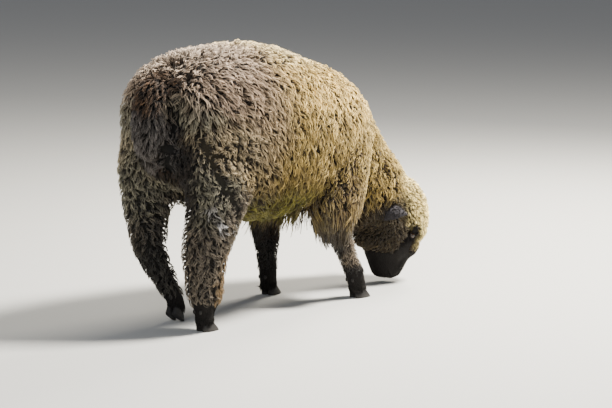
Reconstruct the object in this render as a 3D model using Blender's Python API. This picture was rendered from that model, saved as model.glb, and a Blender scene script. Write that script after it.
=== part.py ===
"""A woolly brown sheep grazing, life size, as a still museum model.

The outer solids follow the tips of the fleece. The whole animal is modelled once, as tubes along
its spine, neck, head and legs that a voxel remesh melts together, and is then parted with thin cuts
into head, neck, trunk, tail and the lengths of each leg. Eyes, ears and claws are pieces of their
own, let into the flesh with a fine clearance.

Run it with:  blender --background --python part.py
Metres, +Z up, +X towards the head, +Y to the animal's left. The soles stand at Z = 0.
"""

import math

import bmesh
import bpy
import numpy as np
from mathutils import Euler, Matrix, Vector

# ------------------------------------------------------------------ driving dimensions, in metres

GAP = 0.0003             # clearance kept between neighbouring solids
VOXEL = 0.008            # grain of the remesh that melts the tubes together
SMOOTHING = 5            # passes that soften the melted body
FLESH_TRIANGLES = 3600   # what the melted body is thinned to before it is parted
RING = 28                # points round each tube
STEPS = 7                # rings between two stations of a tube

# Tubes are given as stations: x, y, z of the middle, half the width, half the depth.
# Width runs across the animal. Depth runs in the plane of the bend.
TRUNK = {
    "rump end":   (-0.108, 0.000, 0.490, 0.045, 0.060),
    "buttock":    (-0.092, 0.000, 0.490, 0.120, 0.122),
    "tail head":  (-0.042, 0.000, 0.497, 0.165, 0.158),
    "hip":        (0.040, 0.000, 0.500, 0.188, 0.186),
    "loin":       (0.140, 0.000, 0.476, 0.198, 0.219),
    "last rib":   (0.260, 0.000, 0.456, 0.200, 0.224),
    "heart":      (0.390, 0.000, 0.440, 0.186, 0.200),
    "withers":    (0.490, 0.000, 0.424, 0.168, 0.184),
    "shoulder":   (0.575, 0.000, 0.404, 0.140, 0.146),
    "breast":     (0.628, 0.000, 0.385, 0.095, 0.095),
    "breast end": (0.652, 0.000, 0.378, 0.040, 0.040),
}
NECK = {
    "root":       (0.470, 0.000, 0.440, 0.118, 0.125),
    "base":       (0.575, -0.002, 0.400, 0.118, 0.136),
    "middle":     (0.665, -0.010, 0.320, 0.104, 0.119),
    "nape":       (0.738, -0.022, 0.248, 0.096, 0.112),
    "throat":     (0.778, -0.030, 0.195, 0.085, 0.092),
}
TAIL = {
    "root":       (-0.050, 0.000, 0.590, 0.050, 0.040),
    "bend":       (-0.095, 0.000, 0.590, 0.052, 0.040),
    "dock":       (-0.124, 0.000, 0.545, 0.052, 0.038),
    "tuft":       (-0.130, 0.000, 0.480, 0.050, 0.034),
    "tip":        (-0.128, 0.000, 0.435, 0.036, 0.026),
    "end":        (-0.126, 0.000, 0.422, 0.014, 0.012),
}

# The head hangs, turned to the animal's right. Its stations go down the face: how far the middle
# lies towards the forehead, height, half width, half depth.
HEAD_TURN = math.radians(-38)
HEAD_AT = (0.790, -0.030)
HEAD = {
    "poll top":   (0.024, 0.280, 0.035, 0.036),
    "poll":       (0.026, 0.266, 0.064, 0.064),
    "crown":      (0.022, 0.237, 0.084, 0.094),
    "ears":       (0.014, 0.200, 0.092, 0.106),
    "brow":       (0.010, 0.165, 0.092, 0.108),
    "cheek":      (0.004, 0.128, 0.084, 0.103),
    "face":       (0.006, 0.098, 0.066, 0.087),
    "bridge":     (0.003, 0.078, 0.051, 0.067),
    "muzzle":     (0.001, 0.060, 0.044, 0.057),
    "nose":       (-0.002, 0.036, 0.040, 0.046),
    "lips":       (-0.005, 0.020, 0.034, 0.037),
    "lips end":   (-0.006, 0.012, 0.020, 0.022),
}
EYE_RADIUS = 0.0125
EYE_AT = (0.056, 0.0475, 0.134)      # towards the forehead, out to the side, height
ORBIT = (0.025, 0.026, 0.036)        # half sizes of the hollow where the coat leaves the eye free
EAR = {                              # towards the forehead, out, height, half width, half thickness
    "root":       (-0.060, 0.046, 0.196, 0.010, 0.0075),
    "neck":       (-0.050, 0.062, 0.201, 0.013, 0.0075),
    "base":       (-0.037, 0.082, 0.206, 0.020, 0.0060),
    "blade":      (-0.014, 0.108, 0.209, 0.024, 0.0045),
    "taper":      (0.006, 0.131, 0.207, 0.017, 0.0038),
    "tip":        (0.019, 0.147, 0.204, 0.005, 0.0030),
}

# Leg stations: along the body, out from the middle line, height, half width, half depth.
HIND_RIGHT = {
    "hip":        (0.020, -0.085, 0.460, 0.085, 0.125),
    "thigh":      (0.008, -0.102, 0.370, 0.078, 0.110),
    "stifle":     (-0.010, -0.102, 0.300, 0.070, 0.074),
    "gaskin":     (-0.020, -0.094, 0.245, 0.063, 0.066),
    "hock":       (-0.027, -0.084, 0.195, 0.055, 0.059),
    "cannon":     (-0.022, -0.078, 0.135, 0.049, 0.050),
    "fetlock":    (-0.016, -0.074, 0.085, 0.044, 0.045),
    "pastern":    (-0.015, -0.072, 0.052, 0.028, 0.029),
    "coronet":    (-0.015, -0.072, 0.022, 0.024, 0.023),
    "end":        (-0.013, -0.072, 0.008, 0.022, 0.022),
}
HIND_LEFT = {
    "hip":        (0.020, 0.085, 0.460, 0.085, 0.125),
    "thigh":      (0.008, 0.112, 0.370, 0.070, 0.108),
    "stifle":     (-0.008, 0.116, 0.300, 0.054, 0.076),
    "gaskin":     (-0.024, 0.102, 0.245, 0.051, 0.056),
    "hock":       (-0.030, 0.090, 0.195, 0.042, 0.044),
    "cannon":     (-0.008, 0.078, 0.135, 0.034, 0.035),
    "fetlock":    (0.016, 0.067, 0.088, 0.028, 0.029),
    "pastern":    (0.028, 0.062, 0.060, 0.024, 0.026),
    "coronet":    (0.034, 0.060, 0.036, 0.023, 0.023),
    "end":        (0.040, 0.059, 0.022, 0.021, 0.021),
}
FORE_RIGHT = {
    "shoulder":   (0.500, -0.085, 0.420, 0.075, 0.120),
    "arm":        (0.475, -0.105, 0.320, 0.066, 0.100),
    "elbow":      (0.452, -0.112, 0.245, 0.060, 0.080),
    "wool end":   (0.460, -0.112, 0.208, 0.044, 0.052),
    "forearm":    (0.476, -0.111, 0.178, 0.031, 0.036),
    "knee":       (0.497, -0.109, 0.145, 0.028, 0.030),
    "cannon":     (0.522, -0.106, 0.105, 0.023, 0.025),
    "fetlock":    (0.549, -0.104, 0.065, 0.025, 0.028),
    "coronet":    (0.563, -0.103, 0.026, 0.024, 0.023),
    "end":        (0.568, -0.103, 0.012, 0.022, 0.022),
}
FORE_LEFT = {
    "shoulder":   (0.500, 0.085, 0.420, 0.075, 0.120),
    "arm":        (0.470, 0.100, 0.320, 0.062, 0.090),
    "elbow":      (0.442, 0.105, 0.250, 0.048, 0.062),
    "forearm":    (0.438, 0.105, 0.200, 0.038, 0.041),
    "knee":       (0.444, 0.105, 0.150, 0.035, 0.037),
    "cannon":     (0.444, 0.105, 0.105, 0.027, 0.028),
    "fetlock":    (0.448, 0.105, 0.065, 0.025, 0.028),
    "coronet":    (0.453, 0.106, 0.026, 0.024, 0.023),
    "end":        (0.456, 0.106, 0.012, 0.022, 0.022),
}

# A foot stands on two claws. Each is given by where its middle stands, how far it turns outwards,
# how far it is tipped on to its toe, how far the toe is then cut away flat on the floor, and where
# along the body and how high its dewclaws stand out of the back of the pastern.
FEET = {
    "hind_right": dict(at=(-0.003, -0.072), turn=math.radians(-6), tip=0.0, flat=0.0,
                       spur=(-0.044, 0.050)),
    "hind_left":  dict(at=(0.025, 0.060), turn=math.radians(5), tip=math.radians(34), flat=0.003,
                       spur=(-0.001, 0.065)),
    "fore_right": dict(at=(0.575, -0.103), turn=math.radians(-8), tip=0.0, flat=0.0,
                       spur=(0.527, 0.050)),
    "fore_left":  dict(at=(0.465, 0.106), turn=math.radians(6), tip=0.0, flat=0.0,
                       spur=(0.424, 0.050)),
}
CLAW_LENGTH = 0.050      # heel to toe along the sole
CLAW_WIDTH = 0.0205
CLAW_SPACING = 0.0225    # between the middles of the two claws
CORONET_HEIGHT = 0.025   # height of the hairline above the middle of the sole
CORONET_SLOPE = 0.30     # how fast the hairline climbs towards the toe
CORONET_LENGTH = 0.036
TOE_SPLAY = math.radians(4)
DEWCLAW = (0.0060, 0.0055, 0.0090)   # half sizes
DEWCLAW_ASIDE = 0.011

FOOT_CUT = 0.078         # height of the cut above each fetlock
KNEE_CUT = 0.152
HOCK_CUT = 0.205
NAPE_CUT = ((0.735, -0.022, 0.262), (0.80, -0.10, -0.60))       # a point and the way beyond it
SHOULDER_CUT = ((0.605, 0.000, 0.400), (0.88, -0.04, -0.47))


# ------------------------------------------------------------------ helpers

def clear_scene():
    for obj in list(bpy.data.objects):
        bpy.data.objects.remove(obj)


def material(name, colour, roughness):
    made = bpy.data.materials.new(name)
    made.use_nodes = True
    shader = made.node_tree.nodes["Principled BSDF"]
    shader.inputs["Base Color"].default_value = (*colour, 1.0)
    shader.inputs["Roughness"].default_value = roughness
    shader.inputs["Metallic"].default_value = 0.0
    made.diffuse_color = (*colour, 1.0)
    return made


def as_object(name, mesh):
    data = bpy.data.meshes.new(name)
    bmesh.ops.recalc_face_normals(mesh, faces=mesh.faces)
    mesh.to_mesh(data)
    mesh.free()
    obj = bpy.data.objects.new(name, data)
    bpy.context.scene.collection.objects.link(obj)
    return obj


def finished_mesh(obj):
    """The object's mesh as its modifiers leave it."""
    bpy.context.view_layer.update()
    seen = obj.evaluated_get(bpy.context.evaluated_depsgraph_get())
    return bpy.data.meshes.new_from_object(seen)


def apply_modifiers(obj):
    made = finished_mesh(obj)
    obj.modifiers.clear()
    obj.data = made


def through(stations):
    """A Catmull-Rom curve through the stations, as rows of x, y, z, half width, half depth."""
    rows = np.array(stations, float)
    ends = np.vstack([2 * rows[0] - rows[1], rows, 2 * rows[-1] - rows[-2]])
    t = np.linspace(0, 1, STEPS, endpoint=False)[:, None]
    parts = []
    for a, b, c, d in zip(ends, ends[1:], ends[2:], ends[3:]):
        parts.append(0.5 * (2 * b + (c - a) * t + (2 * a - 5 * b + 4 * c - d) * t ** 2
                            + (3 * b - 3 * c + d - a) * t ** 3))
    return np.vstack(parts + [rows[-1:]])


def closed_loft(name, rings):
    """A closed solid whose sides join one ring of points to the next."""
    mesh = bmesh.new()
    loops = [[mesh.verts.new(p) for p in ring] for ring in rings]
    count = len(loops[0])
    for low, high in zip(loops, loops[1:]):
        for i in range(count):
            j = (i + 1) % count
            mesh.faces.new((low[i], low[j], high[j], high[i]))
    mesh.faces.new(loops[0][::-1])
    mesh.faces.new(loops[-1])
    return as_object(name, mesh)


def tube(name, rows, across, power=2.0, count=RING, grow=0.0):
    """A tube along the rows. Its rings are superellipses that stand square to the path."""
    middle, half = rows[:, :3], rows[:, 3:5] + grow
    ahead = np.gradient(middle, axis=0)
    ahead /= np.linalg.norm(ahead, axis=1)[:, None]
    side = np.array(across) - (ahead @ np.array(across))[:, None] * ahead
    side /= np.linalg.norm(side, axis=1)[:, None]
    up = np.cross(ahead, side)
    angle = np.linspace(0, 2 * np.pi, count, endpoint=False)
    c, s = np.cos(angle), np.sin(angle)
    c, s = np.sign(c) * abs(c) ** (2 / power), np.sign(s) * abs(s) ** (2 / power)
    rings = (middle[:, None] + side[:, None] * (half[:, :1] * c)[:, :, None]
             + up[:, None] * (half[:, 1:] * s)[:, :, None])
    rings[0] -= grow * ahead[0]
    rings[-1] += grow * ahead[-1]
    return closed_loft(name, rings)


def block(middle, size, lean=0.0, turn=0.0, rounding=0.0):
    """A cutter: a box that leans about the Y axis, turns about Z, and may have round edges."""
    mesh = bmesh.new()
    bmesh.ops.create_cube(mesh, size=1.0)
    bmesh.ops.scale(mesh, vec=Vector(size), verts=mesh.verts)
    if rounding:
        bmesh.ops.bevel(mesh, geom=mesh.edges, offset=rounding, segments=2, profile=0.5,
                        affect="EDGES")
        bmesh.ops.triangulate(mesh, faces=mesh.faces, quad_method="FIXED")
    spin = Euler((0.0, lean, turn)).to_matrix().to_4x4()
    bmesh.ops.transform(mesh, matrix=Matrix.Translation(middle) @ spin, verts=mesh.verts)
    return as_cutter(as_object("cutter", mesh))


def ball(name, middle, half, turn=0.0, rings=10, grow=0.0):
    """An ellipsoid of the given half sizes, turned about Z."""
    mesh = bmesh.new()
    bmesh.ops.create_uvsphere(mesh, u_segments=2 * rings, v_segments=rings, radius=1.0)
    bmesh.ops.scale(mesh, vec=Vector(half) + Vector((grow, grow, grow)), verts=mesh.verts)
    placed = Matrix.Translation(middle) @ Matrix.Rotation(turn, 4, "Z")
    bmesh.ops.transform(mesh, matrix=placed, verts=mesh.verts)
    return as_object(name, mesh)


def as_cutter(obj):
    obj.hide_render = True
    obj.display_type = "WIRE"
    return obj


def boolean(obj, operation, cutter):
    modifier = obj.modifiers.new(operation.lower(), "BOOLEAN")
    modifier.operation = operation
    modifier.solver = "EXACT"
    modifier.object = cutter
    apply_modifiers(obj)


def remove(obj):
    bpy.data.objects.remove(obj)


def part_off(body, name, middle, size, **shape):
    """Cut a piece off the body with a box, and leave GAP between the two."""
    piece = bpy.data.objects.new(name, body.data.copy())
    bpy.context.scene.collection.objects.link(piece)
    inner = block(middle, size, **shape)
    outer = block(middle, [s + 2 * GAP for s in size], **shape)
    boolean(piece, "INTERSECT", inner)
    boolean(body, "DIFFERENCE", outer)
    remove(inner)
    remove(outer)
    return piece


def part_beyond(body, name, cut, reach=0.7):
    """Cut off all of the body that lies beyond a plane, and leave GAP between the two."""
    point, direction = (Vector(v) for v in cut)
    direction.normalize()
    turned = direction.to_track_quat("Z", "Y").to_matrix().to_4x4()
    piece = bpy.data.objects.new(name, body.data.copy())
    bpy.context.scene.collection.objects.link(piece)
    for obj, operation, back in ((piece, "INTERSECT", 0.0), (body, "DIFFERENCE", GAP)):
        cutter = block((0, 0, reach / 2 - back), (reach, reach, reach))
        cutter.data.transform(Matrix.Translation(point) @ turned)
        boolean(obj, operation, cutter)
        remove(cutter)
    return piece


# ------------------------------------------------------------------ the flesh, melted together

def head_frame():
    """The head's own directions: towards the forehead, and out to its right side."""
    facing = np.array((math.cos(HEAD_TURN), math.sin(HEAD_TURN), 0.0))
    right = np.array((math.sin(HEAD_TURN), -math.cos(HEAD_TURN), 0.0))
    return np.array((*HEAD_AT, 0.0)), facing, right


def on_head(forward, out, height):
    """A point given in the head's own directions. A negative out lies on the left side."""
    middle, facing, right = head_frame()
    point = middle + facing * forward + right * out
    return Vector((point[0], point[1], height))


def head_rows():
    rows = through([(forward, 0.0, height, width, depth)
                    for forward, height, width, depth in HEAD.values()])
    places = [on_head(row[0], 0.0, row[2]) for row in rows]
    return np.column_stack([np.array(places), rows[:, 3:5]])


def make_flesh():
    """Tubes for the trunk, neck, head, tail and legs, melted into one closed, softened body."""
    lengthwise = (0.0, 1.0, 0.0)
    legs = {"hind_right": HIND_RIGHT, "hind_left": HIND_LEFT,
            "fore_right": FORE_RIGHT, "fore_left": FORE_LEFT}
    tubes = [tube("trunk", through(list(TRUNK.values())), lengthwise, power=2.25),
             tube("neck", through(list(NECK.values())), lengthwise),
             tube("tail", through(list(TAIL.values())), lengthwise),
             tube("head", head_rows(), tuple(head_frame()[2]))]
    for name, stations in legs.items():
        tubes.append(tube(name, through(list(stations.values())), lengthwise))
    joined = bmesh.new()
    for each in tubes:
        joined.from_mesh(each.data)
        remove(each)
    flesh = as_object("flesh", joined)
    remesh = flesh.modifiers.new("melt", "REMESH")
    remesh.mode = "VOXEL"
    remesh.voxel_size = VOXEL
    soften = flesh.modifiers.new("soften", "SMOOTH")
    soften.factor = 0.5
    soften.iterations = SMOOTHING
    apply_modifiers(flesh)
    triangles = sum(len(face.vertices) - 2 for face in flesh.data.polygons)
    thin = flesh.modifiers.new("thin", "DECIMATE")
    thin.ratio = FLESH_TRIANGLES / triangles
    apply_modifiers(flesh)
    return flesh


# ------------------------------------------------------------------ ears, eyes and claws

def ear_tube(name, side, grow=0.0):
    """A leaf-shaped ear, its broad face looking up and back."""
    rows = through([(*on_head(f, side * o, z), w, t) for f, o, z, w, t in EAR.values()])[::3]
    _, facing, right = head_frame()
    across = facing * -0.45 + right * side * 0.30 + np.array((0.0, 0.0, -0.85))
    return tube(name, rows, tuple(across), count=10, grow=grow)


def claw(name, foot, aside):
    """One claw: a pointed oval sole, lofted up and back to the sloping hairline."""
    angle = np.linspace(0, 2 * np.pi, 12, endpoint=False)
    rings = []
    for t in (0.0, 0.15, 1.0):
        length = CLAW_LENGTH + (CORONET_LENGTH - CLAW_LENGTH) * t
        width = CLAW_WIDTH * (0.90 + 0.10 * math.sin(math.pi * min(1.0, 0.2 + t)))
        back = (CLAW_LENGTH - CORONET_LENGTH) * 0.5 * t + 0.004 * t
        x = length / 2 * np.cos(angle) - back
        y = width / 2 * np.sin(angle) * (1 - 0.28 * np.cos(angle))
        top = CORONET_HEIGHT - 2 * GAP + CORONET_SLOPE * x
        z = t * top
        rings.append(np.column_stack([x, y, z]))
    made = closed_loft(name, rings)
    side = math.copysign(1.0, aside)
    made.data.transform(Matrix.Translation((0, aside, 0)) @ Matrix.Rotation(side * TOE_SPLAY, 4, "Z"))
    made.data.transform(foot_frame(foot))
    if foot["flat"]:
        floor = block((foot["at"][0], foot["at"][1], -0.05), (0.2, 0.2, 0.1))
        boolean(made, "DIFFERENCE", floor)
        remove(floor)
    return made


def foot_frame(foot):
    """Where a foot stands: tipped about its toe, turned outwards and set on the floor."""
    tip = Matrix.Rotation(foot["tip"], 4, "Y")
    toe = tip @ Vector((CLAW_LENGTH / 2, 0, 0))
    stand = Matrix.Translation((foot["at"][0], foot["at"][1], -toe.z - foot["flat"]))
    return stand @ Matrix.Rotation(foot["turn"], 4, "Z") @ tip


def coronet_cutter(foot):
    """A box whose top is the sloping hairline: the flesh ends there."""
    cut = block((0, 0, CORONET_HEIGHT - 0.05), (0.2, 0.2, 0.1))
    slope = Matrix.Translation((0, 0, CORONET_HEIGHT)) @ Matrix.Rotation(
        -math.atan(CORONET_SLOPE), 4, "Y") @ Matrix.Translation((0, 0, -CORONET_HEIGHT))
    cut.data.transform(slope)
    cut.data.transform(foot_frame(foot))
    return cut


def dewclaw(name, foot, aside, grow=0.0):
    along, height = foot["spur"]
    spot = Vector((along, foot["at"][1] + aside, height))
    return ball(name, spot, DEWCLAW, foot["turn"], rings=4, grow=grow)


def let_in(body, cutter):
    """Hollow the body where another piece sits in it."""
    as_cutter(cutter)
    boolean(body, "DIFFERENCE", cutter)
    remove(cutter)


# ------------------------------------------------------------------ the whole animal

def make_feet(pieces, foot_pieces, horn):
    """Claws and dewclaws, two of each to a foot, with the flesh cut back to meet them."""
    for name, foot in FEET.items():
        flesh = foot_pieces[name]
        cut = coronet_cutter(foot)
        boolean(flesh, "DIFFERENCE", cut)
        remove(cut)
        inward = 1.0 if name.endswith("right") else -1.0
        for place, sign in (("inner", inward), ("outer", -inward)):
            made = claw(f"claw_{name}_{place}", foot, sign * CLAW_SPACING / 2)
            pieces[made.name] = (made, horn)
            spur = dewclaw(f"dewclaw_{name}_{place}", foot, sign * DEWCLAW_ASIDE)
            pieces[spur.name] = (spur, horn)
            let_in(flesh, dewclaw("hollow", foot, sign * DEWCLAW_ASIDE, grow=GAP))


def set_origin(objects):
    """Slide the animal along the floor until the origin lies under the middle of its box."""
    points = np.vstack([np.array([v.co for v in obj.data.vertices]) for obj in objects])
    middle = (points.min(axis=0) + points.max(axis=0)) / 2
    for obj in objects:
        obj.data.transform(Matrix.Translation((-middle[0], -middle[1], 0.0)))


def main():
    clear_scene()
    fleece = material("fleece", (0.20, 0.13, 0.065), 0.95)
    dark_fleece = material("dark fleece", (0.075, 0.048, 0.030), 0.95)
    short_hair = material("short dark hair", (0.020, 0.015, 0.013), 0.80)
    horn = material("horn", (0.030, 0.026, 0.023), 0.45)
    eye = material("eye", (0.025, 0.014, 0.006), 0.08)

    body = make_flesh()
    pieces = {}
    feet = {}
    for name, foot in FEET.items():
        x, y = foot["at"]
        cut = HOCK_CUT if name.startswith("hind") else KNEE_CUT
        kind = "hindleg" if name.startswith("hind") else "foreleg"
        side = name.split("_")[1]
        lower = "shank" if kind == "hindleg" else "lower"
        out = math.copysign(0.101, y)
        feet[name] = part_off(body, f"{kind}_{side}_foot", (x, out, FOOT_CUT - 0.1),
                              (0.18, 0.2, 0.2))
        pieces[feet[name].name] = (feet[name], short_hair)
        shank = part_off(body, f"{kind}_{side}_{lower}", (x - 0.01, out, cut - 0.1),
                         (0.24, 0.2, 0.2))
        pieces[shank.name] = (shank, dark_fleece)
        if kind == "hindleg":
            top = part_off(body, f"{kind}_{side}_thigh", (-0.007, math.copysign(0.170, y), 0.285),
                           (0.265, 0.290, 0.424), lean=math.radians(-18), rounding=0.07)
        else:
            top = part_off(body, f"{kind}_{side}_upper", (0.465, math.copysign(0.180, y), 0.235),
                           (0.210, 0.270, 0.400), lean=math.radians(10), rounding=0.07)
        pieces[top.name] = (top, dark_fleece)

    tail = part_off(body, "tail", (-0.205, 0.0, 0.520), (0.200, 0.118, 0.30), rounding=0.03)
    pieces["tail"] = (tail, dark_fleece)
    head = part_beyond(body, "head", NAPE_CUT)
    pieces["head"] = (head, fleece)
    neck = part_beyond(body, "neck", SHOULDER_CUT)
    pieces["neck"] = (neck, fleece)
    body.name = "trunk"
    pieces["trunk"] = (body, fleece)

    make_feet(pieces, feet, horn)

    for side, sign in (("right", 1.0), ("left", -1.0)):
        forward, out, height = EYE_AT
        hollow = ball("hollow", on_head(forward + 0.002, sign * (out + 0.0305), height - 0.010),
                      ORBIT, HEAD_TURN, rings=6)
        let_in(head, hollow)
        middle = on_head(forward, sign * out, height)
        size = (EYE_RADIUS,) * 3
        let_in(head, ball("hollow", middle, size, HEAD_TURN, rings=6, grow=GAP))
        pieces[f"eye_{side}"] = (ball(f"eye_{side}", middle, size, HEAD_TURN, rings=6), eye)
        let_in(head, ear_tube("hollow", sign, grow=1.5 * GAP))
        pieces[f"ear_{side}"] = (ear_tube(f"ear_{side}", sign), short_hair)

    for name, (obj, finish) in pieces.items():
        obj.name = name
        obj.data.name = name
        obj.data.materials.clear()
        obj.data.materials.append(finish)
    set_origin([obj for obj, _ in pieces.values()])


main()
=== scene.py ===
# %% [markdown]
# # A woolly sheep that grazes
# This script gives a finished surface to a sheep whose solids were built before. The solids follow the tips
# of the coat, but the real animal is a smooth body inside, with wool standing on it. So the skin is made
# first, a few centimetres inside the solids, and every lock of wool then grows from the skin out to the
# solid's surface. This way the outline stays true and the coat still has its depth.

import bmesh
import bpy
import numpy as np
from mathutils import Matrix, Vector
from mathutils.bvhtree import BVHTree
from mathutils.kdtree import KDTree


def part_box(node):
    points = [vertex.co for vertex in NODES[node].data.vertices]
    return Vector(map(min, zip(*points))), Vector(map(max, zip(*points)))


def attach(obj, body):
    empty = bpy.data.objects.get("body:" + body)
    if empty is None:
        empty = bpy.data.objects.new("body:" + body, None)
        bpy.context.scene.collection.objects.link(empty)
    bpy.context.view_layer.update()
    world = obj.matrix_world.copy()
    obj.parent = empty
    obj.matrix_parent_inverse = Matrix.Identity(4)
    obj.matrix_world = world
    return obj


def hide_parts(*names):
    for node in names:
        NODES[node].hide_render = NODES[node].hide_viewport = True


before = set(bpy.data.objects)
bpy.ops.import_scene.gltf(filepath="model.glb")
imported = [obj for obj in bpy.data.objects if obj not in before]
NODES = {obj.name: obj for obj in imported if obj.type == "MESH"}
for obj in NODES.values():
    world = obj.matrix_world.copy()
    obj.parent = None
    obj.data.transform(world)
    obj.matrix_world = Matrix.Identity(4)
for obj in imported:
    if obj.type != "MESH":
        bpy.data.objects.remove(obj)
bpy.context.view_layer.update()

# %% [markdown]
# ## Names of the body's parts
# A sheep's four legs are built alike, so their names are made by a loop. Lists of names keep the later
# steps short: a step says which parts it works on and not how many there are.

# %% Name the parts
SIDES = ("left", "right")
LEG_PARTS = {"hindleg": ("thigh", "shank", "foot"), "foreleg": ("upper", "lower", "foot")}
FLESH = ["trunk", "neck", "head", "tail"]
FLESH += [f"{leg}_{side}_{part}" for leg, parts in LEG_PARTS.items() for side in SIDES for part in parts]
EARS = [f"ear_{side}" for side in SIDES]
CLAWS = [f"{kind}_{pair}_{side}_{place}" for kind in ("claw", "dewclaw") for pair in ("fore", "hind")
         for side in SIDES for place in ("inner", "outer")]
print(len(FLESH), "flesh nodes,", len(CLAWS), "claws")

# %% [markdown]
# ## Small tools for whole arrays
# Points are rows of an array, so a shape is moved or bent in one line, without a loop over its points. A
# soft step turns a length into a weight between 0 and 1, and a ripple is a smooth disorder made of a few
# sine waves: it stands in for noise wherever the arrays need one.

# %% Array tools
def unit(vectors):
    """Each row divided by its own length."""
    return vectors / np.maximum(np.linalg.norm(vectors, axis=-1, keepdims=True), 1e-9)


def step(low, high, values):
    """0 below low, 1 above high, and the smooth cubic 3t2 - 2t3 between them."""
    t = np.clip((values - low) / (high - low), 0, 1)
    return t * t * (3 - 2 * t)


def bell(values, width):
    """1 where the value is 0, falling off to both sides: e to the power of -(value / width) squared."""
    return np.exp(-(values / width) ** 2)


def mix(a, b, weight):
    """a where the weight is 0, b where it is 1."""
    return a + (b - a) * weight


def ripple(points, wavelength, seed):
    """Smooth disorder from about -1 to 1: the mean of eight sine waves that run in random directions."""
    dice = np.random.default_rng(seed)
    ways = unit(dice.normal(size=(8, 3))) * dice.uniform(0.7, 1.4, (8, 1))
    phases = dice.uniform(0, 2 * np.pi, 8)
    return np.sin(points @ ways.T * (2 * np.pi / wavelength) + phases).mean(1) * 2


def wander(points, wavelength, seeds, size):
    """The points pushed about by three ripples, one for each direction."""
    return points + np.stack([ripple(points, wavelength, seed) for seed in seeds], 1) * size


def from_segment(points, start, end):
    """The shortest way to each point from the straight line between two points."""
    start, way = np.asarray(start, float), np.subtract(end, start)
    along = np.clip((points - start) @ way / np.sum(way ** 2), 0, 1)
    return points - start - along[:, None] * way


def segment_distance(points, start, end):
    """Each point's distance from the straight line between two points."""
    return np.linalg.norm(from_segment(points, start, end), axis=1)


# %% Mesh tools
def read(rows, name, size, kind=float):
    """One value of all of a mesh's points, corners or normals, as rows of the given size."""
    values = np.empty(len(rows) * size, kind)
    rows.foreach_get(name, values)
    return values.reshape(-1, size)


def mesh_arrays(mesh, corners):
    """The mesh's points as rows of 3, and its faces as rows of `corners` numbers."""
    return read(mesh.vertices, "co", 3), read(mesh.loops, "vertex_index", 1, np.int64).reshape(-1, corners)


def new_piece(name, points, faces, material):
    """A smooth object at the origin from arrays of points and of faces with equal numbers of corners."""
    mesh = bpy.data.meshes.new(name)
    count, corners = faces.shape
    mesh.vertices.add(len(points))
    mesh.vertices.foreach_set("co", points.astype(np.float32).ravel())
    mesh.loops.add(count * corners)
    mesh.loops.foreach_set("vertex_index", faces.astype(np.int32).ravel())
    mesh.polygons.add(count)
    mesh.polygons.foreach_set("loop_start", np.arange(0, count * corners, corners, dtype=np.int32))
    mesh.update(calc_edges=True)
    mesh.shade_smooth()
    mesh.validate()
    mesh.materials.append(material)
    piece = bpy.data.objects.new(name, mesh)
    bpy.context.scene.collection.objects.link(piece)
    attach(piece, "root")
    return piece


def paint(piece, name, colours):
    """Stores a colour for each point, which a material reads with an Attribute node."""
    layer = piece.data.color_attributes.new(name, "FLOAT_COLOR", "POINT")
    rows = np.ones((len(colours), 4), np.float32)
    rows[:, :3] = colours
    layer.data.foreach_set("color", rows.ravel())


def unwrap(piece, name, places, faces):
    """Stores a UV map from one flat place for each point."""
    layer = piece.data.uv_layers.new(name=name)
    layer.data.foreach_set("uv", places[faces].astype(np.float32).ravel())


# %% [markdown]
# ## The shell
# The solids of the flesh are cut from each other by thin gaps, as a model is that comes apart. The shell
# closes these gaps: copies of the solids are swollen by a hair, put together and remade on a grid of small
# cells. Its faces are all quads, which keeps the sums on them simple. It is only a guide: the skin shrinks
# from it, and the tips of the wool end on it.

# %% Make the shell
CELL = 0.0058
SWELL = 0.0006


def point_normals(count, faces, sides):
    """Each point's normal: the normals of the faces round it, added up."""
    total = np.zeros((count, 3))
    for corner in faces.T:
        np.add.at(total, corner, sides)
    return unit(total)


def stacked(names):
    """Points, triangles and each triangle's node number of several CAD nodes, one after the other."""
    points, faces, owners, start = [], [], [], 0
    for number, name in enumerate(names):
        own_points, own_faces = mesh_arrays(NODES[name].data, 3)
        own_points, back = np.unique(own_points.round(6), axis=0, return_inverse=True)
        own_faces = back.reshape(-1)[own_faces]
        sides = np.cross(own_points[own_faces[:, 1]] - own_points[own_faces[:, 0]],
                         own_points[own_faces[:, 2]] - own_points[own_faces[:, 0]])
        points.append(own_points + point_normals(len(own_points), own_faces, sides) * SWELL)
        faces.append(own_faces + start)
        owners.append(np.full(len(own_faces), number))
        start += len(own_points)
    return np.concatenate(points), np.concatenate(faces), np.concatenate(owners)


def fused(points, faces, cell, smoothing):
    """One closed surface of quads round closed solids that touch or overlap, on cells of the given size."""
    mesh = bpy.data.meshes.new("fused")
    mesh.from_pydata(points.tolist(), [], faces.tolist())
    guide = bpy.data.objects.new("fused", mesh)
    bpy.context.scene.collection.objects.link(guide)
    remesh = guide.modifiers.new("Remesh", "REMESH")
    remesh.mode = "VOXEL"
    remesh.voxel_size = cell
    smooth = guide.modifiers.new("Smooth", "SMOOTH")
    smooth.iterations = smoothing
    made = guide.evaluated_get(bpy.context.evaluated_depsgraph_get()).to_mesh()
    arrays = mesh_arrays(made, 4)
    bpy.data.objects.remove(guide)
    return arrays


cad_points, cad_faces, cad_owners = stacked(FLESH)
shell, quads = fused(cad_points, cad_faces, CELL, 3)
print("shell:", len(shell), "points,", len(quads), "quads")

# %% [markdown]
# ## Where each part of the shell belongs
# The coat's depth differs from part to part, so each point of the shell is given the solid that is nearest
# to it. What is worked out per part is then spread a little over the neighbours, so nothing changes
# abruptly.

# %% Owners and normals
def quad_sides(points):
    """Each quad's normal, twice as long as its area: its two diagonals crossed."""
    return np.cross(points[quads[:, 2]] - points[quads[:, 0]], points[quads[:, 3]] - points[quads[:, 1]])


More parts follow.
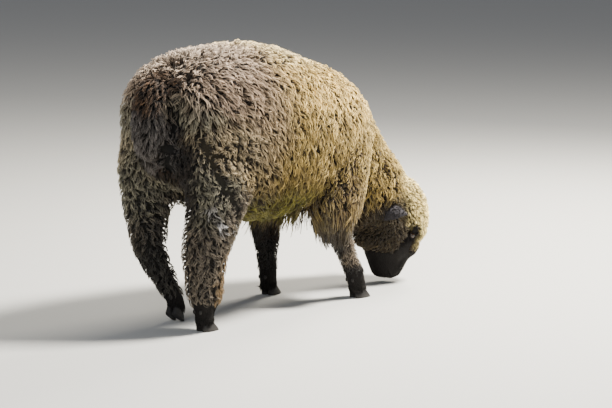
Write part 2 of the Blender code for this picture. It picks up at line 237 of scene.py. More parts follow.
def normals_of(points):
    """The normals of the shell, or of a surface made from it, point by point."""
    return point_normals(len(points), quads, quad_sides(points))


quads_round = np.bincount(quads.ravel(), minlength=len(shell))


def spread(values, rounds):
    """Each round gives a point the mean of the quads round it, a quad being the mean of its corners."""
    values = np.asarray(values, float)
    shape = values.shape
    values = values.reshape(len(shell), -1)
    for _ in range(rounds):
        middles = values[quads].mean(1)
        columns = [sum(np.bincount(corner, middle, len(shell)) for corner in quads.T)
                   for middle in middles.T]
        values = np.stack(columns, 1) / quads_round[:, None]
    return values.reshape(shape)


nearest = BVHTree.FromPolygons(cad_points.tolist(), cad_faces.tolist())
owner = cad_owners[[nearest.find_nearest(point)[2] for point in shell.tolist()]]


def part_is(*words):
    """A weight of 1 at the shell's points whose part's name holds one of the words."""
    wanted = [number for number, name in enumerate(FLESH) if any(word in name for word in words)]
    return np.isin(owner, wanted).astype(float)


print({word: int(part_is(word).sum()) for word in ("trunk", "neck", "head", "tail", "hindleg", "foreleg")})

# %% [markdown]
# ## Places on the head
# The head hangs down and is turned to one side, so its features are easiest to place in its own directions:
# forward out of the forehead, outward to the animal's right, and up. The two eyes give these directions.

# %% The head's own directions
eyes = {side: np.array([list(corner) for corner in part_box(f"eye_{side}")]).mean(0) for side in SIDES}
OUTWARD = unit(eyes["right"] - eyes["left"])
FORWARD = np.array([-OUTWARD[1], OUTWARD[0], 0])
UP = np.array([0.0, 0.0, 1.0])
OUT = {"left": -OUTWARD, "right": OUTWARD}
EYE_FORWARD = 0.056
face_axis = (eyes["left"] + eyes["right"]) / 2 - FORWARD * EYE_FORWARD


def on_head(points):
    """Forward, outward to the right, and height above the floor, for each point."""
    away = points - face_axis
    return np.stack([away @ FORWARD, away @ OUTWARD, points[:, 2]], 1)


def from_head(forward, outward, height):
    """The point in space at a place on the head; whole arrays of places work as well."""
    away = np.multiply.outer(forward, FORWARD) + np.multiply.outer(outward, OUTWARD)
    return away + face_axis * (1, 1, 0) + np.multiply.outer(height, UP)


def eye_distance(points):
    """Each point's distance from the middle of the nearer eye."""
    return np.min([np.linalg.norm(points - eyes[side], axis=1) for side in SIDES], axis=0)


print("forward", FORWARD.round(3), "face axis", face_axis.round(3))

# %% [markdown]
# ## How deep the coat is
# The fleece on the body is some three centimetres deep, less on the legs, and the face, the ears and the
# feet have short flat hair only. The bare face is a muzzle that ends in a wedge round each eye.

# %% Coat depth
COAT = {"trunk": 0.030, "neck": 0.026, "tail": 0.017, "thigh": 0.013, "upper": 0.013}
HEAD_WOOL = 0.013
HAIR = 0.0016
FACE_TOP = 0.090
EYE_WEDGE = ((0.058, 0.150), (0.026, 0.080))
WEDGE_WIDTH = 0.019


def bare_face(points):
    """1 on the bare face and 0 in the wool: all below the face's top line, and the wedges up to the eyes."""
    place = on_head(points)
    flat = np.stack([place[:, 0], place[:, 2]], 1)
    ragged = ripple(points, 0.03, 3) * 0.003
    wedge = segment_distance(flat, *EYE_WEDGE) + ragged
    sides = step(0.030, 0.042, np.abs(place[:, 1]))
    below = step(FACE_TOP + 0.006, FACE_TOP - 0.006, place[:, 2] + ragged)
    return np.maximum(below, step(WEDGE_WIDTH + 0.004, WEDGE_WIDTH - 0.004, wedge) * sides)


heights = shell[:, 2]
hind_depth = np.interp(heights, (0.02, 0.055, 0.09, 0.15), (HAIR, 0.003, 0.0075, 0.0095))
fore_depth = np.interp(heights, (0.02, 0.07, 0.10, 0.15), (HAIR, 0.003, 0.006, 0.008))
bare = bare_face(shell) * part_is("head")
depth = sum(part_is(word) * size for word, size in COAT.items())
depth += part_is("head") * mix(HEAD_WOOL, HAIR, bare)
depth += part_is("shank", "hindleg_left_foot", "hindleg_right_foot") * hind_depth
depth += part_is("lower", "foreleg_left_foot", "foreleg_right_foot") * fore_depth
keep_sharp = np.maximum(bare, (heights < 0.07).astype(float))
on_the_head = spread(part_is("head"), 6)
depth = mix(mix(spread(depth, 12), spread(depth, 3), on_the_head), depth, spread(keep_sharp, 2))
print("coat depth", depth.min().round(4), "to", depth.max().round(4))

# %% [markdown]
# ## The skin
# The skin is the shell drawn inwards along its normals by the coat's depth. One long step would fold it
# over itself in the hollows, so it goes in several short ones, and each evens out the woolly parts a
# little.

# %% Shrink the shell to the skin
STEPS = 6
skin = shell.copy()
woolly = step(0.003, 0.010, depth)
for _ in range(STEPS):
    inward = unit(spread(normals_of(skin), 2))
    skin = skin - inward * depth[:, None] / STEPS
    skin = mix(skin, spread(skin, 1), woolly[:, None] * 0.5)
print("skin box", skin.min(0).round(3), skin.max(0).round(3))

# %% [markdown]
# ## Colours of the coat
# Sun and rain bleach the tips of dark wool: golden on the barrel, neck and forehead, greyer on the rump,
# and hardly at all low on the legs. Each marking is a soft ellipsoid with a colour, laid one over the
# other. A few are painted shade instead: the dark crotch under the tail, and the far foreleg and hind leg,
# which stand in shadow. The pale top of the back is partly bleach and partly a painted highlight. Skin and
# wool ask the same function for their colour, so they always agree.

# %% Markings
MARKINGS_AND_PAINTED_LIGHT = (  # middle, half sizes, how soft the edge is, colour of the tips
    ((0.00, 0.00, 0.50), (0.42, 0.40, 0.27), 0.35, (0.325, 0.230, 0.066)),
    ((0.10, 0.00, 0.62), (0.34, 0.40, 0.17), 0.70, (0.745, 0.535, 0.182)),
    # Top of the back: partly sun-bleached tips, partly a painted highlight where the light falls.
    ((-0.02, 0.00, 0.70), (0.30, 0.22, 0.060), 0.80, (0.940, 0.760, 0.400)),
    ((-0.30, 0.00, 0.50), (0.11, 0.40, 0.14), 0.70, (0.520, 0.385, 0.190)),
    ((-0.39, 0.00, 0.62), (0.20, 0.40, 0.16), 1.20, (0.480, 0.360, 0.258)),
    ((-0.38, 0.00, 0.69), (0.17, 0.26, 0.06), 0.90, (0.620, 0.490, 0.370)),
    ((-0.46, 0.00, 0.42), (0.11, 0.40, 0.16), 0.35, (0.268, 0.244, 0.170)),
    ((-0.37, 0.00, 0.46), (0.10, 0.40, 0.08), 0.70, (0.450, 0.350, 0.205)),
    ((-0.13, 0.00, 0.25), (0.20, 0.40, 0.10), 0.80, (0.145, 0.130, 0.020)),
    ((0.12, 0.00, 0.27), (0.13, 0.40, 0.08), 0.60, (0.250, 0.175, 0.062)),
    ((0.08, 0.00, 0.18), (0.13, 0.30, 0.07), 0.40, (0.084, 0.068, 0.044)),
    ((0.32, 0.00, 0.33), (0.20, 0.30, 0.16), 0.35, (0.460, 0.330, 0.098)),
    ((0.36, 0.00, 0.14), (0.15, 0.30, 0.11), 0.35, (0.080, 0.062, 0.033)),
    ((0.52, -0.10, 0.24), (0.12, 0.16, 0.15), 0.60, (0.990, 0.810, 0.330)),
    # Painted shadow: the crotch under the tail, near black.
    ((-0.47, -0.03, 0.39), (0.085, 0.090, 0.16), 0.45, (0.020, 0.015, 0.011)),
    ((-0.50, 0.00, 0.50), (0.085, 0.062, 0.150), 0.25, (0.108, 0.094, 0.085)),
    ((-0.48, -0.01, 0.600), (0.09, 0.070, 0.070), 0.50, (0.075, 0.042, 0.022)),
    ((-0.414, -0.158, 0.272), (0.017, 0.022, 0.021), 0.40, (0.760, 0.730, 0.710)),
    ((-0.432, -0.148, 0.310), (0.010, 0.020, 0.020), 0.40, (0.470, 0.440, 0.410)),
    # Painted shade: the far foreleg and the far hind leg, darker than their own wool.
    ((0.08, 0.10, 0.10), (0.11, 0.06, 0.16), 0.30, (0.006, 0.005, 0.0045)),
    ((-0.36, 0.09, 0.12), (0.12, 0.07, 0.18), 0.60, (0.044, 0.040, 0.032)),
    ((-0.35, -0.10, 0.14), (0.05, 0.06, 0.11), 0.60, (0.220, 0.140, 0.062)),
    ((0.07, -0.12, 0.19), (0.10, 0.08, 0.055), 0.60, (0.054, 0.044, 0.029)),
    ((0.15, -0.11, 0.12), (0.07, 0.06, 0.06), 0.50, (0.235, 0.185, 0.132)),
    ((0.065, -0.10, 0.135), (0.055, 0.06, 0.075), 0.40, (0.010, 0.008, 0.007)),
    ((0.16, -0.11, 0.05), (0.09, 0.06, 0.045), 0.35, (0.006, 0.005, 0.004)),
)
DARK_WOOL = (0.185, 0.150, 0.108)
BLACK_HAIR = (0.0045, 0.0036, 0.0034)


def markings_and_painted_light(points, hairy):
    """Colour of the coat's tips at each point: coloured patches over dark wool, a few of them painted shade
    and one partly a painted highlight, and black-brown where it is hairy.
    """
    bent = wander(points, 0.11, (11, 12, 13), 0.014)
    colours = np.tile(DARK_WOOL, (len(points), 1))
    for middle, half, soft, colour in MARKINGS_AND_PAINTED_LIGHT:
        far = np.linalg.norm((bent - middle) / half, axis=1)
        colours = mix(colours, np.array(colour), step(1 + soft / 2, 1 - soft / 2, far)[:, None])
    colours *= (1 + 0.10 * ripple(points, 0.06, 21) + 0.08 * ripple(points, 0.02, 22))[:, None]
    return mix(colours, np.array(BLACK_HAIR), hairy[:, None])


hairy = step(0.0062, 0.0048, depth)
tips = markings_and_painted_light(shell, hairy)
print("mean tip colour", tips.mean(0).round(3))

# %% [markdown]
# ## Shader tools
# A material is a tree of nodes. Each small function here adds one node, joins it to what it is given and
# returns its result, so a tree reads like a sum.

# %% Node tools
def feed(tree, socket, value):
    """Joins a socket to another node's socket, or gives it a plain value."""
    if isinstance(value, bpy.types.NodeSocket):
        tree.links.new(value, socket)
    else:
        socket.default_value = value


def node(tree, kind, inputs, **settings):
    """Adds a node; inputs maps a socket's name or number to a value or to another node's socket."""
    made = tree.nodes.new(f"ShaderNode{kind}")
    for name, value in settings.items():
        setattr(made, name, value)
    for name, value in inputs.items():
        feed(tree, made.inputs[name], value)
    return made.outputs


def maths(tree, operation, a, b=0.0):
    """The result of one sum."""
    return node(tree, "Math", {0: a, 1: b}, operation=operation)[0]


def scaled(tree, value, low, high, to_low=0.0, to_high=1.0):
    """The value carried from one range to another, and held inside it."""
    inputs = {"Value": value, "From Min": low, "From Max": high, "To Min": to_low, "To Max": to_high}
    return node(tree, "MapRange", inputs)[0]


# %% Nodes for noise, colours and groups
def noise(tree, place, scale, detail=2.0, distortion=0.0):
    """A soft random pattern, mostly between 0.3 and 0.7."""
    inputs = {"Vector": place, "Scale": scale, "Detail": detail, "Distortion": distortion}
    return node(tree, "TexNoise", inputs)[0]


def blended(tree, factor, a, b, how="MIX"):
    """Two colours mixed in the named way. A Mix node's colours are its sockets 6 and 7, and its output 2."""
    return node(tree, "Mix", {0: factor, 6: a, 7: b}, data_type="RGBA", blend_type=how)[2]


def brightened(tree, colour, bright):
    """A colour times a number."""
    grey = node(tree, "CombineColor", {"Red": bright, "Green": bright, "Blue": bright})
    return blended(tree, 1.0, colour, grey[0], "MULTIPLY")


def new_group(name, **inputs):
    """A node group that puts out a colour and a height, with its input and output sockets to work with."""
    group = bpy.data.node_groups.new(name, "ShaderNodeTree")
    for label, value in inputs.items():
        kind = "Float" if isinstance(value, float) else {3: "Vector", 4: "Color"}[len(value)]
        socket = group.interface.new_socket(label, in_out="INPUT", socket_type=f"NodeSocket{kind}")
        socket.default_value = value
    for label, kind in (("Color", "NodeSocketColor"), ("Height", "NodeSocketFloat")):
        group.interface.new_socket(label, in_out="OUTPUT", socket_type=kind)
    return group, group.nodes.new("NodeGroupInput").outputs, group.nodes.new("NodeGroupOutput").inputs


# %% [markdown]
# ## Groups for wool and hair
# Two effects are used by more than one finish, so each is a node group. The wool group takes a lock from
# its dark root to its bleached tip, makes each lock a little different and draws the fibres along it; one
# input can lift the root towards the tip's colour, which is painted light in the shaded depth of short
# curls. The hair group draws short fine hair that lies flat.

# %% The wool group
WHITE = (1, 1, 1, 1)
wool_group, given, result = new_group("wool", Tint=WHITE, Along=1.0, Chance=0.5, Around=0.0, Place=(0, 0, 0),
                                      Root=(0.02, 0.012, 0.008, 1), Vary=0.35, Pale=0.0)
fibre_place = {axis: maths(wool_group, "MULTIPLY", given[name], often)
               for axis, name, often in (("X", "Around", 9.0), ("Y", "Along", 5.0), ("Z", "Chance", 90.0))}
fibre = noise(wool_group, node(wool_group, "CombineXYZ", fibre_place)[0], 1.0, 3.0)
patchy = noise(wool_group, given["Place"], 55.0)
spare = maths(wool_group, "MULTIPLY", scaled(wool_group, given["Chance"], 0.0, 1.0, -1.0, 1.0), given["Vary"])
bright = maths(wool_group, "ADD", spare, 1.0)
bright = maths(wool_group, "MULTIPLY", bright, scaled(wool_group, patchy, 0.35, 0.65, 0.74, 1.26))
bright = maths(wool_group, "MULTIPLY", bright, scaled(wool_group, fibre, 0.3, 0.7, 0.75, 1.2))
root_colour = blended(wool_group, given["Pale"], given["Root"], given["Tint"])
tip_colour = brightened(wool_group, given["Tint"], bright)
bleach = scaled(wool_group, given["Along"], 0.25, 0.95)
feed(wool_group, result["Color"], blended(wool_group, bleach, root_colour, tip_colour))
feed(wool_group, result["Height"], fibre)
print("wool group:", len(wool_group.nodes), "nodes")

# %% The hair group
HAIR_WIDTH = 900.0
HAIR_LENGTH = 90.0
hair_group, given, result = new_group("short hair", Tint=WHITE, Place=(0, 0, 0))
lying = node(hair_group, "VectorMath", {0: given["Place"], 1: (HAIR_WIDTH, HAIR_WIDTH, HAIR_LENGTH)},
             operation="MULTIPLY")[0]
strokes = noise(hair_group, lying, 1.0, 4.0)
broad = noise(hair_group, given["Place"], 38.0, 3.0)
bright = maths(hair_group, "MULTIPLY", scaled(hair_group, strokes, 0.3, 0.7, 0.55, 1.5),
               scaled(hair_group, broad, 0.3, 0.7, 0.75, 1.3))
feed(hair_group, result["Color"], brightened(hair_group, given["Tint"], bright))
feed(hair_group, result["Height"], strokes)
print("hair group:", len(hair_group.nodes), "nodes")

# %% Materials of skin and coat
RELIEF = 0.0006


def new_material(name, roughness, sheen=0.0, specular=0.5):
    """A material, its node tree and its Principled shader's inputs."""
    material = bpy.data.materials.new(name)
    material.use_nodes = True
    shader = next(n for n in material.node_tree.nodes if n.type == "BSDF_PRINCIPLED").inputs
    for label, value in (("Roughness", roughness), ("Sheen Weight", sheen), ("Sheen Roughness", 0.5),
                         ("Specular IOR Level", specular)):
        shader[label].default_value = value
    return material, material.node_tree, shader


def bump(tree, shader, height, strength, distance):
    """Feeds a height to the shader's normal."""
    feed(tree, shader["Normal"], node(tree, "Bump", {"Height": height, "Strength": strength,
                                                     "Distance": distance})[0])


def coat_material(name, group, roughness, sheen, specular, strength, **values):
    """A finish from one of the groups: the piece stores its tint, and wool also its place in the lock."""
    material, tree, shader = new_material(name, roughness, sheen, specular)
    inputs = {"Tint": node(tree, "Attribute", {}, attribute_name="tint")["Color"],
              "Place": node(tree, "TexCoord", {})["Object"], **values}
    if group is wool_group:
        lock = node(tree, "Attribute", {}, attribute_name="lock")["Vector"]
        inputs.update(zip(("Along", "Chance", "Around"), node(tree, "SeparateXYZ", {0: lock})))
    made = node(tree, "Group", inputs, node_tree=group)
    feed(tree, shader["Base Color"], made["Color"])
    bump(tree, shader, made["Height"], strength, RELIEF)
    return material


def wool_material(name, root, sheen, vary, pale=0.0):
    """Wool with its own root colour and contrast; pale lifts the root towards the tip as painted light."""
    return coat_material(name, wool_group, 0.85, sheen, 0.25, 0.6, Root=root, Vary=vary, Pale=pale)


BROWN_ROOT = (0.036, 0.020, 0.009, 1)
fleece = wool_material("wool", BROWN_ROOT, 0.12, 0.88)
dark_fleece = wool_material("dark wool", (0.012, 0.008, 0.005, 1), 0.10, 0.92)
# On the head the roots are lifted a fifth of the way to the tip colour: painted light in the shade of the
# close curls.
head_fleece = wool_material("head wool", BROWN_ROOT, 0.16, 0.98, 0.20)
hair = wool_material("short hair", (0.006, 0.005, 0.004, 1), 0.0, 0.5)
hide = coat_material("skin", hair_group, 0.70, 0.0, 0.12, 0.8)
print("materials:", [m.name for m in (fleece, dark_fleece, head_fleece, hair, hide)])

# %% [markdown]
# ## One skin
# The skin is one closed mesh, because a seam between a neck and a head would show through any coat. It
# carries the coat's own colours. Under wool they are much darker, as no light gets there, and round the
# eyes and along the edge of the face it is black, where the wool stands thin.

# %% Skin piece
UNDER_WOOL = 0.04
UNDER_HEAD_WOOL = 0.09
skin_piece = new_piece("skin", skin, quads, hide)
shaded = mix(UNDER_WOOL, UNDER_HEAD_WOOL, part_is("head"))[:, None]
under_wool = markings_and_painted_light(shell, np.zeros(len(shell))) * shaded
thin_wool = np.maximum(step(0.0128, 0.0095, depth), step(0.056, 0.046, eye_distance(shell)))
hairy_edge = np.maximum(hairy, part_is("head") * thin_wool)
paint(skin_piece, "tint", mix(under_wool, np.array(BLACK_HAIR), hairy_edge[:, None]))
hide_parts(*FLESH)
print("skin:", len(quads), "quads")

# %% [markdown]
# ## Finer faces where the head is bare
# Under wool the skin's coarse faces are enough, but lids, nostrils and lips need points a millimetre apart.
# Faces near them are cut in four, two or three times over, and the new points are evened out, so the muzzle
# curves instead of showing the coarse faces. One mesh stays one mesh, so no seam can show.

# %% Refine the head
NOSE = from_head(0.034, 0.0, 0.032)


def refine(piece, wanted, rounds):
    """Cuts each face whose middle is wanted into four and smooths the points of those faces."""
    sheet = bmesh.new()
    sheet.from_mesh(piece.data)
    middles = np.array([face.calc_center_median()[:] for face in sheet.faces])
    picked = [face for face, pick in zip(sheet.faces, wanted(middles)) if pick]
    edges = list({edge for face in picked for edge in face.edges})
    made = bmesh.ops.subdivide_edges(sheet, edges=edges, cuts=1, use_grid_fill=True)
    fresh = [part for part in made["geom"] if isinstance(part, bmesh.types.BMVert)]
    for _ in range(rounds):
        bmesh.ops.smooth_vert(sheet, verts=fresh, factor=0.5, use_axis_x=True, use_axis_y=True,
                              use_axis_z=True)
    sheet.to_mesh(piece.data)
    sheet.free()


def near(points, place, reach):
    """True within reach of a place."""
    return np.linalg.norm(points - place, axis=1) < reach


def on_muzzle(points, top=0.105):
    """True on the lower head."""
    place = on_head(points)
    return (place[:, 2] < top) & (np.linalg.norm(place[:, :2], axis=1) < 0.10)


refine(skin_piece, lambda points: on_muzzle(points) | (eye_distance(points) < 0.040), 3)
refine(skin_piece, lambda points: on_muzzle(points, 0.068) | (eye_distance(points) < 0.027), 3)
refine(skin_piece, lambda points: (eye_distance(points) < 0.019) | near(points, NOSE, 0.030), 2)
print("skin:", len(skin_piece.data.vertices), "points")

# %% [markdown]
# ## Lids, nostrils and mouth
# These are carved by moving points along their normals, by an amount that depends on how far a point is
# from a line: the line of the mouth, the slit of a nostril, the groove under the nose. A lid is different:
# the skin is laid over the eyeball like a cloth over a ball, a little outside it, except in the almond
# between the lids, where it goes behind the ball.

# %% Lines of the face
EYEBALL = 0.0120
LID = 0.0013
BEHIND_BALL = -0.0032
TO_NOSE = unit(FORWARD * 0.42 - UP * 0.91)
ALMOND = 0.86
UPPER_LID = 0.50
LOWER_LID = 0.36
# Each line of the face runs through these places on the head.
MOUTH = [(0.010, 0.000, 0.010), (0.009, 0.018, 0.011), (0.004, 0.031, 0.020), (-0.006, 0.038, 0.036),
         (-0.016, 0.043, 0.054)]
NOSTRIL = [(0.038, 0.007, 0.023), (0.039, 0.014, 0.028), (0.036, 0.021, 0.037), (0.030, 0.026, 0.043)]
PHILTRUM = [(0.044, 0, 0.040), (0.036, 0, 0.022), (0.018, 0, 0.010)]
CHEEK = [(0.040, 0.034, 0.092), (0.030, 0.036, 0.062)]
PHILTRUM_DEPTH = -0.0016
PHILTRUM_WIDTH = 0.0022
# How deep and how wide each line is cut: a broad swelling first, with a narrow slit in it.
PAIRED_LINES = ((MOUTH, (0.0012, 0.0070), (-0.0040, 0.0016)), (NOSTRIL, (0.0024, 0.0075), (-0.0085, 0.0026)),
                (CHEEK, (-0.0030, 0.0110)))


def groove(points, line, width):
    """1 on a line through several places of the head and falling to 0 at about twice the width from it."""
    corners = [from_head(*place) for place in line]
    return bell(np.min([segment_distance(points, a, b) for a, b in zip(corners, corners[1:])], axis=0), width)


def carve(points, normals):
    """The face's hollows and swellings: each line's weight times its depth, along the normals."""
    change = PHILTRUM_DEPTH * groove(points, PHILTRUM, PHILTRUM_WIDTH)
    for side in (1, -1):
        for line, *cuts in PAIRED_LINES:
            line = [(forward, side * outward, height) for forward, outward, height in line]
            change += sum(deep * groove(points, line, width) for deep, width in cuts)
    return points + normals * change[:, None]


# %% Carve the face
def lids(points, side):
    """Lays the skin over one eyeball: a new distance from the ball's middle for each near point."""
    over = np.cross(OUT[side], TO_NOSE)
    over = over * np.sign(over[2] + FORWARD @ over)
    away = points - eyes[side]
    far = np.linalg.norm(away, axis=1)
    ahead = away @ OUT[side]
    slant, lift = np.arctan2(away @ TO_NOSE, ahead), np.arctan2(away @ over, ahead)
    gap = np.where(lift > 0, UPPER_LID, LOWER_LID) * (1 - (slant / ALMOND) ** 2)
    edge = np.where(np.abs(slant) < ALMOND, np.abs(lift) - gap, np.hypot(np.abs(slant) - ALMOND, lift))
    ball = EYEBALL + mix(BEHIND_BALL, LID, step(-0.07, 0.05, edge))
    ball += 0.0008 * bell(edge - 0.10, 0.07) - 0.0011 * bell(edge - 0.36, 0.07)
    held = step(1.15, 0.55, edge) * (ahead > -0.004)
    target = mix(far, ball, held)
    return eyes[side] + away * (target / np.maximum(far, 1e-6))[:, None]


skin_points = read(skin_piece.data.vertices, "co", 3)
skin_normals = read(skin_piece.data.vertex_normals, "vector", 3)
near_head = near(skin_points, from_head(0, 0, 0.10), 0.16)
face_points = carve(skin_points[near_head], skin_normals[near_head])
for side in SIDES:
    brow = 0.0015 * bell(np.linalg.norm(face_points - eyes[side], axis=1) - 0.020, 0.009)
    face_points = lids(face_points + brow[:, None] * OUT[side], side)
skin_points[near_head] = face_points
skin_piece.data.vertices.foreach_set("co", skin_points.astype(np.float32).ravel())
skin_piece.data.update()
skin_piece.data.shade_smooth()
skin_faces = [face.vertices[:] for face in skin_piece.data.polygons]
skin_tree = BVHTree.FromPolygons(skin_points.tolist(), skin_faces)
print("face points:", int(near_head.sum()))

# %% [markdown]
# ## Surfaces made of rings
# Eyeballs, ears and locks are all rings of points, one after the other, with a wall of triangles between
# neighbouring rings. A fan to one middle point closes each end.

# %% Ring tools
def wall(rings, sides):
    """Two triangles for each quad a, b, c, d between a ring and the next."""
    row, column = np.meshgrid(np.arange(rings - 1) * sides, np.arange(sides), indexing="ij")
    a, b = row + column, row + (column + 1) % sides
    c, d = b + sides, a + sides
    return np.concatenate([np.stack([a, b, c], -1).reshape(-1, 3), np.stack([a, c, d], -1).reshape(-1, 3)])


def fan(middle, start, sides):
    """Triangles from a middle point to the ring whose points begin at start."""
    spokes = np.arange(sides)
    return np.stack([np.full(sides, middle), start + spokes, start + (spokes + 1) % sides], 1)


def turned_over(triangles):
    """The same triangles, facing the other way."""
    return triangles[:, [0, 2, 1]]


def closed_rings(rings, sides):
    """A wall with a fan at both ends: the two middle points are the last of all points."""
    count = rings * sides
    first_end, last_end = turned_over(fan(count, 0, sides)), fan(count + 1, count - sides, sides)
    return np.concatenate([wall(rings, sides), first_end, last_end])


# %% [markdown]
# ## Eyes
# A sheep's eye is a dark ball with an amber ring and a level, oblong pupil, under a clear bulging cornea.
# Each is a sphere whose front swells a little. The iris and pupil are drawn by the material from a flat map
# of the ball's front, and a clear coat stands for the wet cornea.

# %% Shape of an eye
IRIS = 0.0080
CORNEA = 0.0011
EYE_RINGS = 40
EYE_SIDES = 48


def eyeball(side):
    """A sphere from latitude and longitude about the line of sight; the cornea adds a swelling in front."""
    sight = unit(OUT[side] + FORWARD * 0.25 - UP * 0.05)
    level = unit(np.cross(sight, UP))
    rise = np.cross(level, sight)
    from_front, round_it = np.meshgrid(np.linspace(0.012, np.pi - 0.012, EYE_RINGS),
                                       np.arange(EYE_SIDES) * (2 * np.pi / EYE_SIDES), indexing="ij")
    radius = (EYEBALL + CORNEA * step(0.75, 0.25, from_front))[..., None]
    flat = np.cos(round_it)[..., None] * level + np.sin(round_it)[..., None] * rise
    points = radius * (np.cos(from_front)[..., None] * sight + np.sin(from_front)[..., None] * flat)
    places = np.concatenate([points.reshape(-1, 3), [sight * (EYEBALL + CORNEA)], [-sight * EYEBALL]])
    flat_map = np.stack([places @ level, places @ rise], 1) / EYEBALL * 0.5 + 0.5
    return places + eyes[side], turned_over(closed_rings(EYE_RINGS, EYE_SIDES)), flat_map


# %% Finish of an eye
def eye_material():
    """Amber iris, darkened far below its own brightness as painted shade, with fine rays, a dark rim and a
    level oblong pupil, all drawn from the flat map.
    """
    material, tree, shader = new_material("eye", 0.25, 0.0, 0.3)
    shader["Coat Weight"].default_value = 0.3
    shader["Coat Roughness"].default_value = 0.03
    flat = node(tree, "UVMap", {}, uv_map="front")[0]
    middle = node(tree, "Mapping", {"Vector": flat, "Location": (-1, -1, 0), "Scale": (2, 2, 0)})[0]
    across, up, _ = node(tree, "SeparateXYZ", {0: middle})
    far = node(tree, "VectorMath", {0: middle}, operation="LENGTH")["Value"]
    rays = noise(tree, middle, 9.0, 6.0, 1.5)
    # The iris's amber is kept very dark: painted shade, as the eye sits in shadow.
    colour = blended(tree, scaled(tree, rays, 0.35, 0.65), (0.018, 0.008, 0.003, 1), (0.050, 0.024, 0.008, 1))
    colour = blended(tree, scaled(tree, far, 0.45, IRIS / EYEBALL), colour, (0.012, 0.005, 0.003, 1))
    wide, high = (maths(tree, "POWER", maths(tree, "ABSOLUTE", maths(tree, "DIVIDE", place, half)), 3.0)
                  for place, half in ((across, 0.43), (up, 0.17)))
    pupil = scaled(tree, maths(tree, "ADD", wide, high), 0.85, 1.15, 1, 0)
    colour = blended(tree, pupil, colour, (0.002, 0.002, 0.003, 1))
    white = scaled(tree, far, IRIS / EYEBALL - 0.02, IRIS / EYEBALL + 0.03)
    feed(tree, shader["Base Color"], blended(tree, white, colour, (0.030, 0.020, 0.016, 1)))
    return material


glassy = eye_material()
for side in SIDES:
    points, triangles, flat_map = eyeball(side)
    eye = new_piece(f"eyeball_{side}", points, triangles, glassy)
    unwrap(eye, "front", flat_map, triangles)
    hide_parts(f"eye_{side}")
print("eyeballs:", len(triangles), "triangles each")

# %% [markdown]
# ## Ears
# A sheep's ear is a thin leaf, cupped along its length, with its hollow side forward and down. The leaf's
# length, width and course come from the solid ear: its own long axis and how far its points spread from it.
# The leaf is a closed shape: a flat oval carried along that course and bent, so that both edges curl to the
# hollow side.

# %% Shape of an ear
EAR_RINGS = 34
EAR_SIDES = 40
EAR_HALF_THICKNESS = 0.0016
EAR_HALF_WIDTH = 0.024
EAR_CUP = 0.0085


def ear_leaf(name):
    """Rings of an oval bent to a bow: width w(s) cos a, thickness t(s) sin a, less cup (cos a)**2."""
    solid = mesh_arrays(NODES[name].data, 3)[0]
    middle = solid.mean(0)
    long_way, wide_way, flat_way = np.linalg.svd(solid - middle, full_matrices=False)[2]
    long_way = long_way * np.sign(long_way @ (middle - face_axis))
    flat_way = flat_way * np.sign(flat_way[2])
    wide_way = np.cross(flat_way, long_way)
    s, across, over = ((solid - middle) @ way for way in (long_way, wide_way, flat_way))
    course_wide, course_flat = np.polyfit(s, across, 2), np.polyfit(s, over, 2)
    along = np.linspace(s.min(), s.max(), EAR_RINGS)
    loose = np.abs(across - np.polyval(course_wide, s))
    half = np.array([loose[np.abs(s - here) < 0.012].max() for here in along])
    half = np.minimum(np.convolve(np.pad(half, 2, "edge"), np.ones(5) / 5, "valid"), EAR_HALF_WIDTH)
    t = np.linspace(0, 1, EAR_RINGS)[:, None]
    half = half[:, None] * np.clip(1 - np.abs((t - 0.38) / 0.622) ** 2.4, 0.02, 1) ** 0.75
    angle = np.arange(EAR_SIDES) * (2 * np.pi / EAR_SIDES)
    thick = EAR_HALF_THICKNESS * mix(2.0, 0.8, t) * np.minimum(half / 0.004, 1)
    cup = EAR_CUP * mix(1.6, 0.7, t)
    y = thick * np.sin(angle) - cup * (np.cos(angle) ** 2 - 0.4) * (half / EAR_HALF_WIDTH) ** 2
    y = y + np.polyval(course_flat, along)[:, None]
    x = half * np.cos(angle) * (1 - 0.18 * (half / EAR_HALF_WIDTH) * step(0.4, 0.0, t))
    x = x + np.polyval(course_wide, along)[:, None]
    points = middle + (along[:, None, None] * long_way + x[..., None] * wide_way + y[..., None] * flat_way)
    points_in_rows = np.concatenate([points.reshape(-1, 3), points[[0, -1]].mean(1)])
    inside = np.append(np.tile(step(0.2, -0.2, np.sin(angle)), EAR_RINGS), (0, 0))
    return points_in_rows, closed_rings(EAR_RINGS, EAR_SIDES), inside, long_way


# %% Make the ears
# The ear's own dark grey on its back is lightened by a painted sheen; its hollow underside is darkened as
# painted shade.
EAR_BACK_AND_SHEEN = np.array((0.048, 0.045, 0.050))
EAR_HOLLOW_SHADE = np.array((0.012, 0.010, 0.010))
EAR_LEAVES = {}
for side in SIDES:
    points, triangles, inside, long_way = ear_leaf(f"ear_{side}")
    ear = new_piece(f"ear_leaf_{side}", points, triangles, hide)
    paint(ear, "tint", mix(EAR_BACK_AND_SHEEN, EAR_HOLLOW_SHADE, inside[:, None]))
    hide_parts(f"ear_{side}")
    EAR_LEAVES[side] = (points, triangles, long_way)
print("ears:", len(triangles), "triangles each")

# %% [markdown]
# ## Claws
# The hoof of a sheep is two claws of horn, with two small dewclaws behind. Their solids have the right
# shape but sharp facets, so each is remade on small cells and smoothed, and the horn's growth rings come
# from the material: fine bands that run round the claw, level with the coronet, worn pale towards the
# ground.

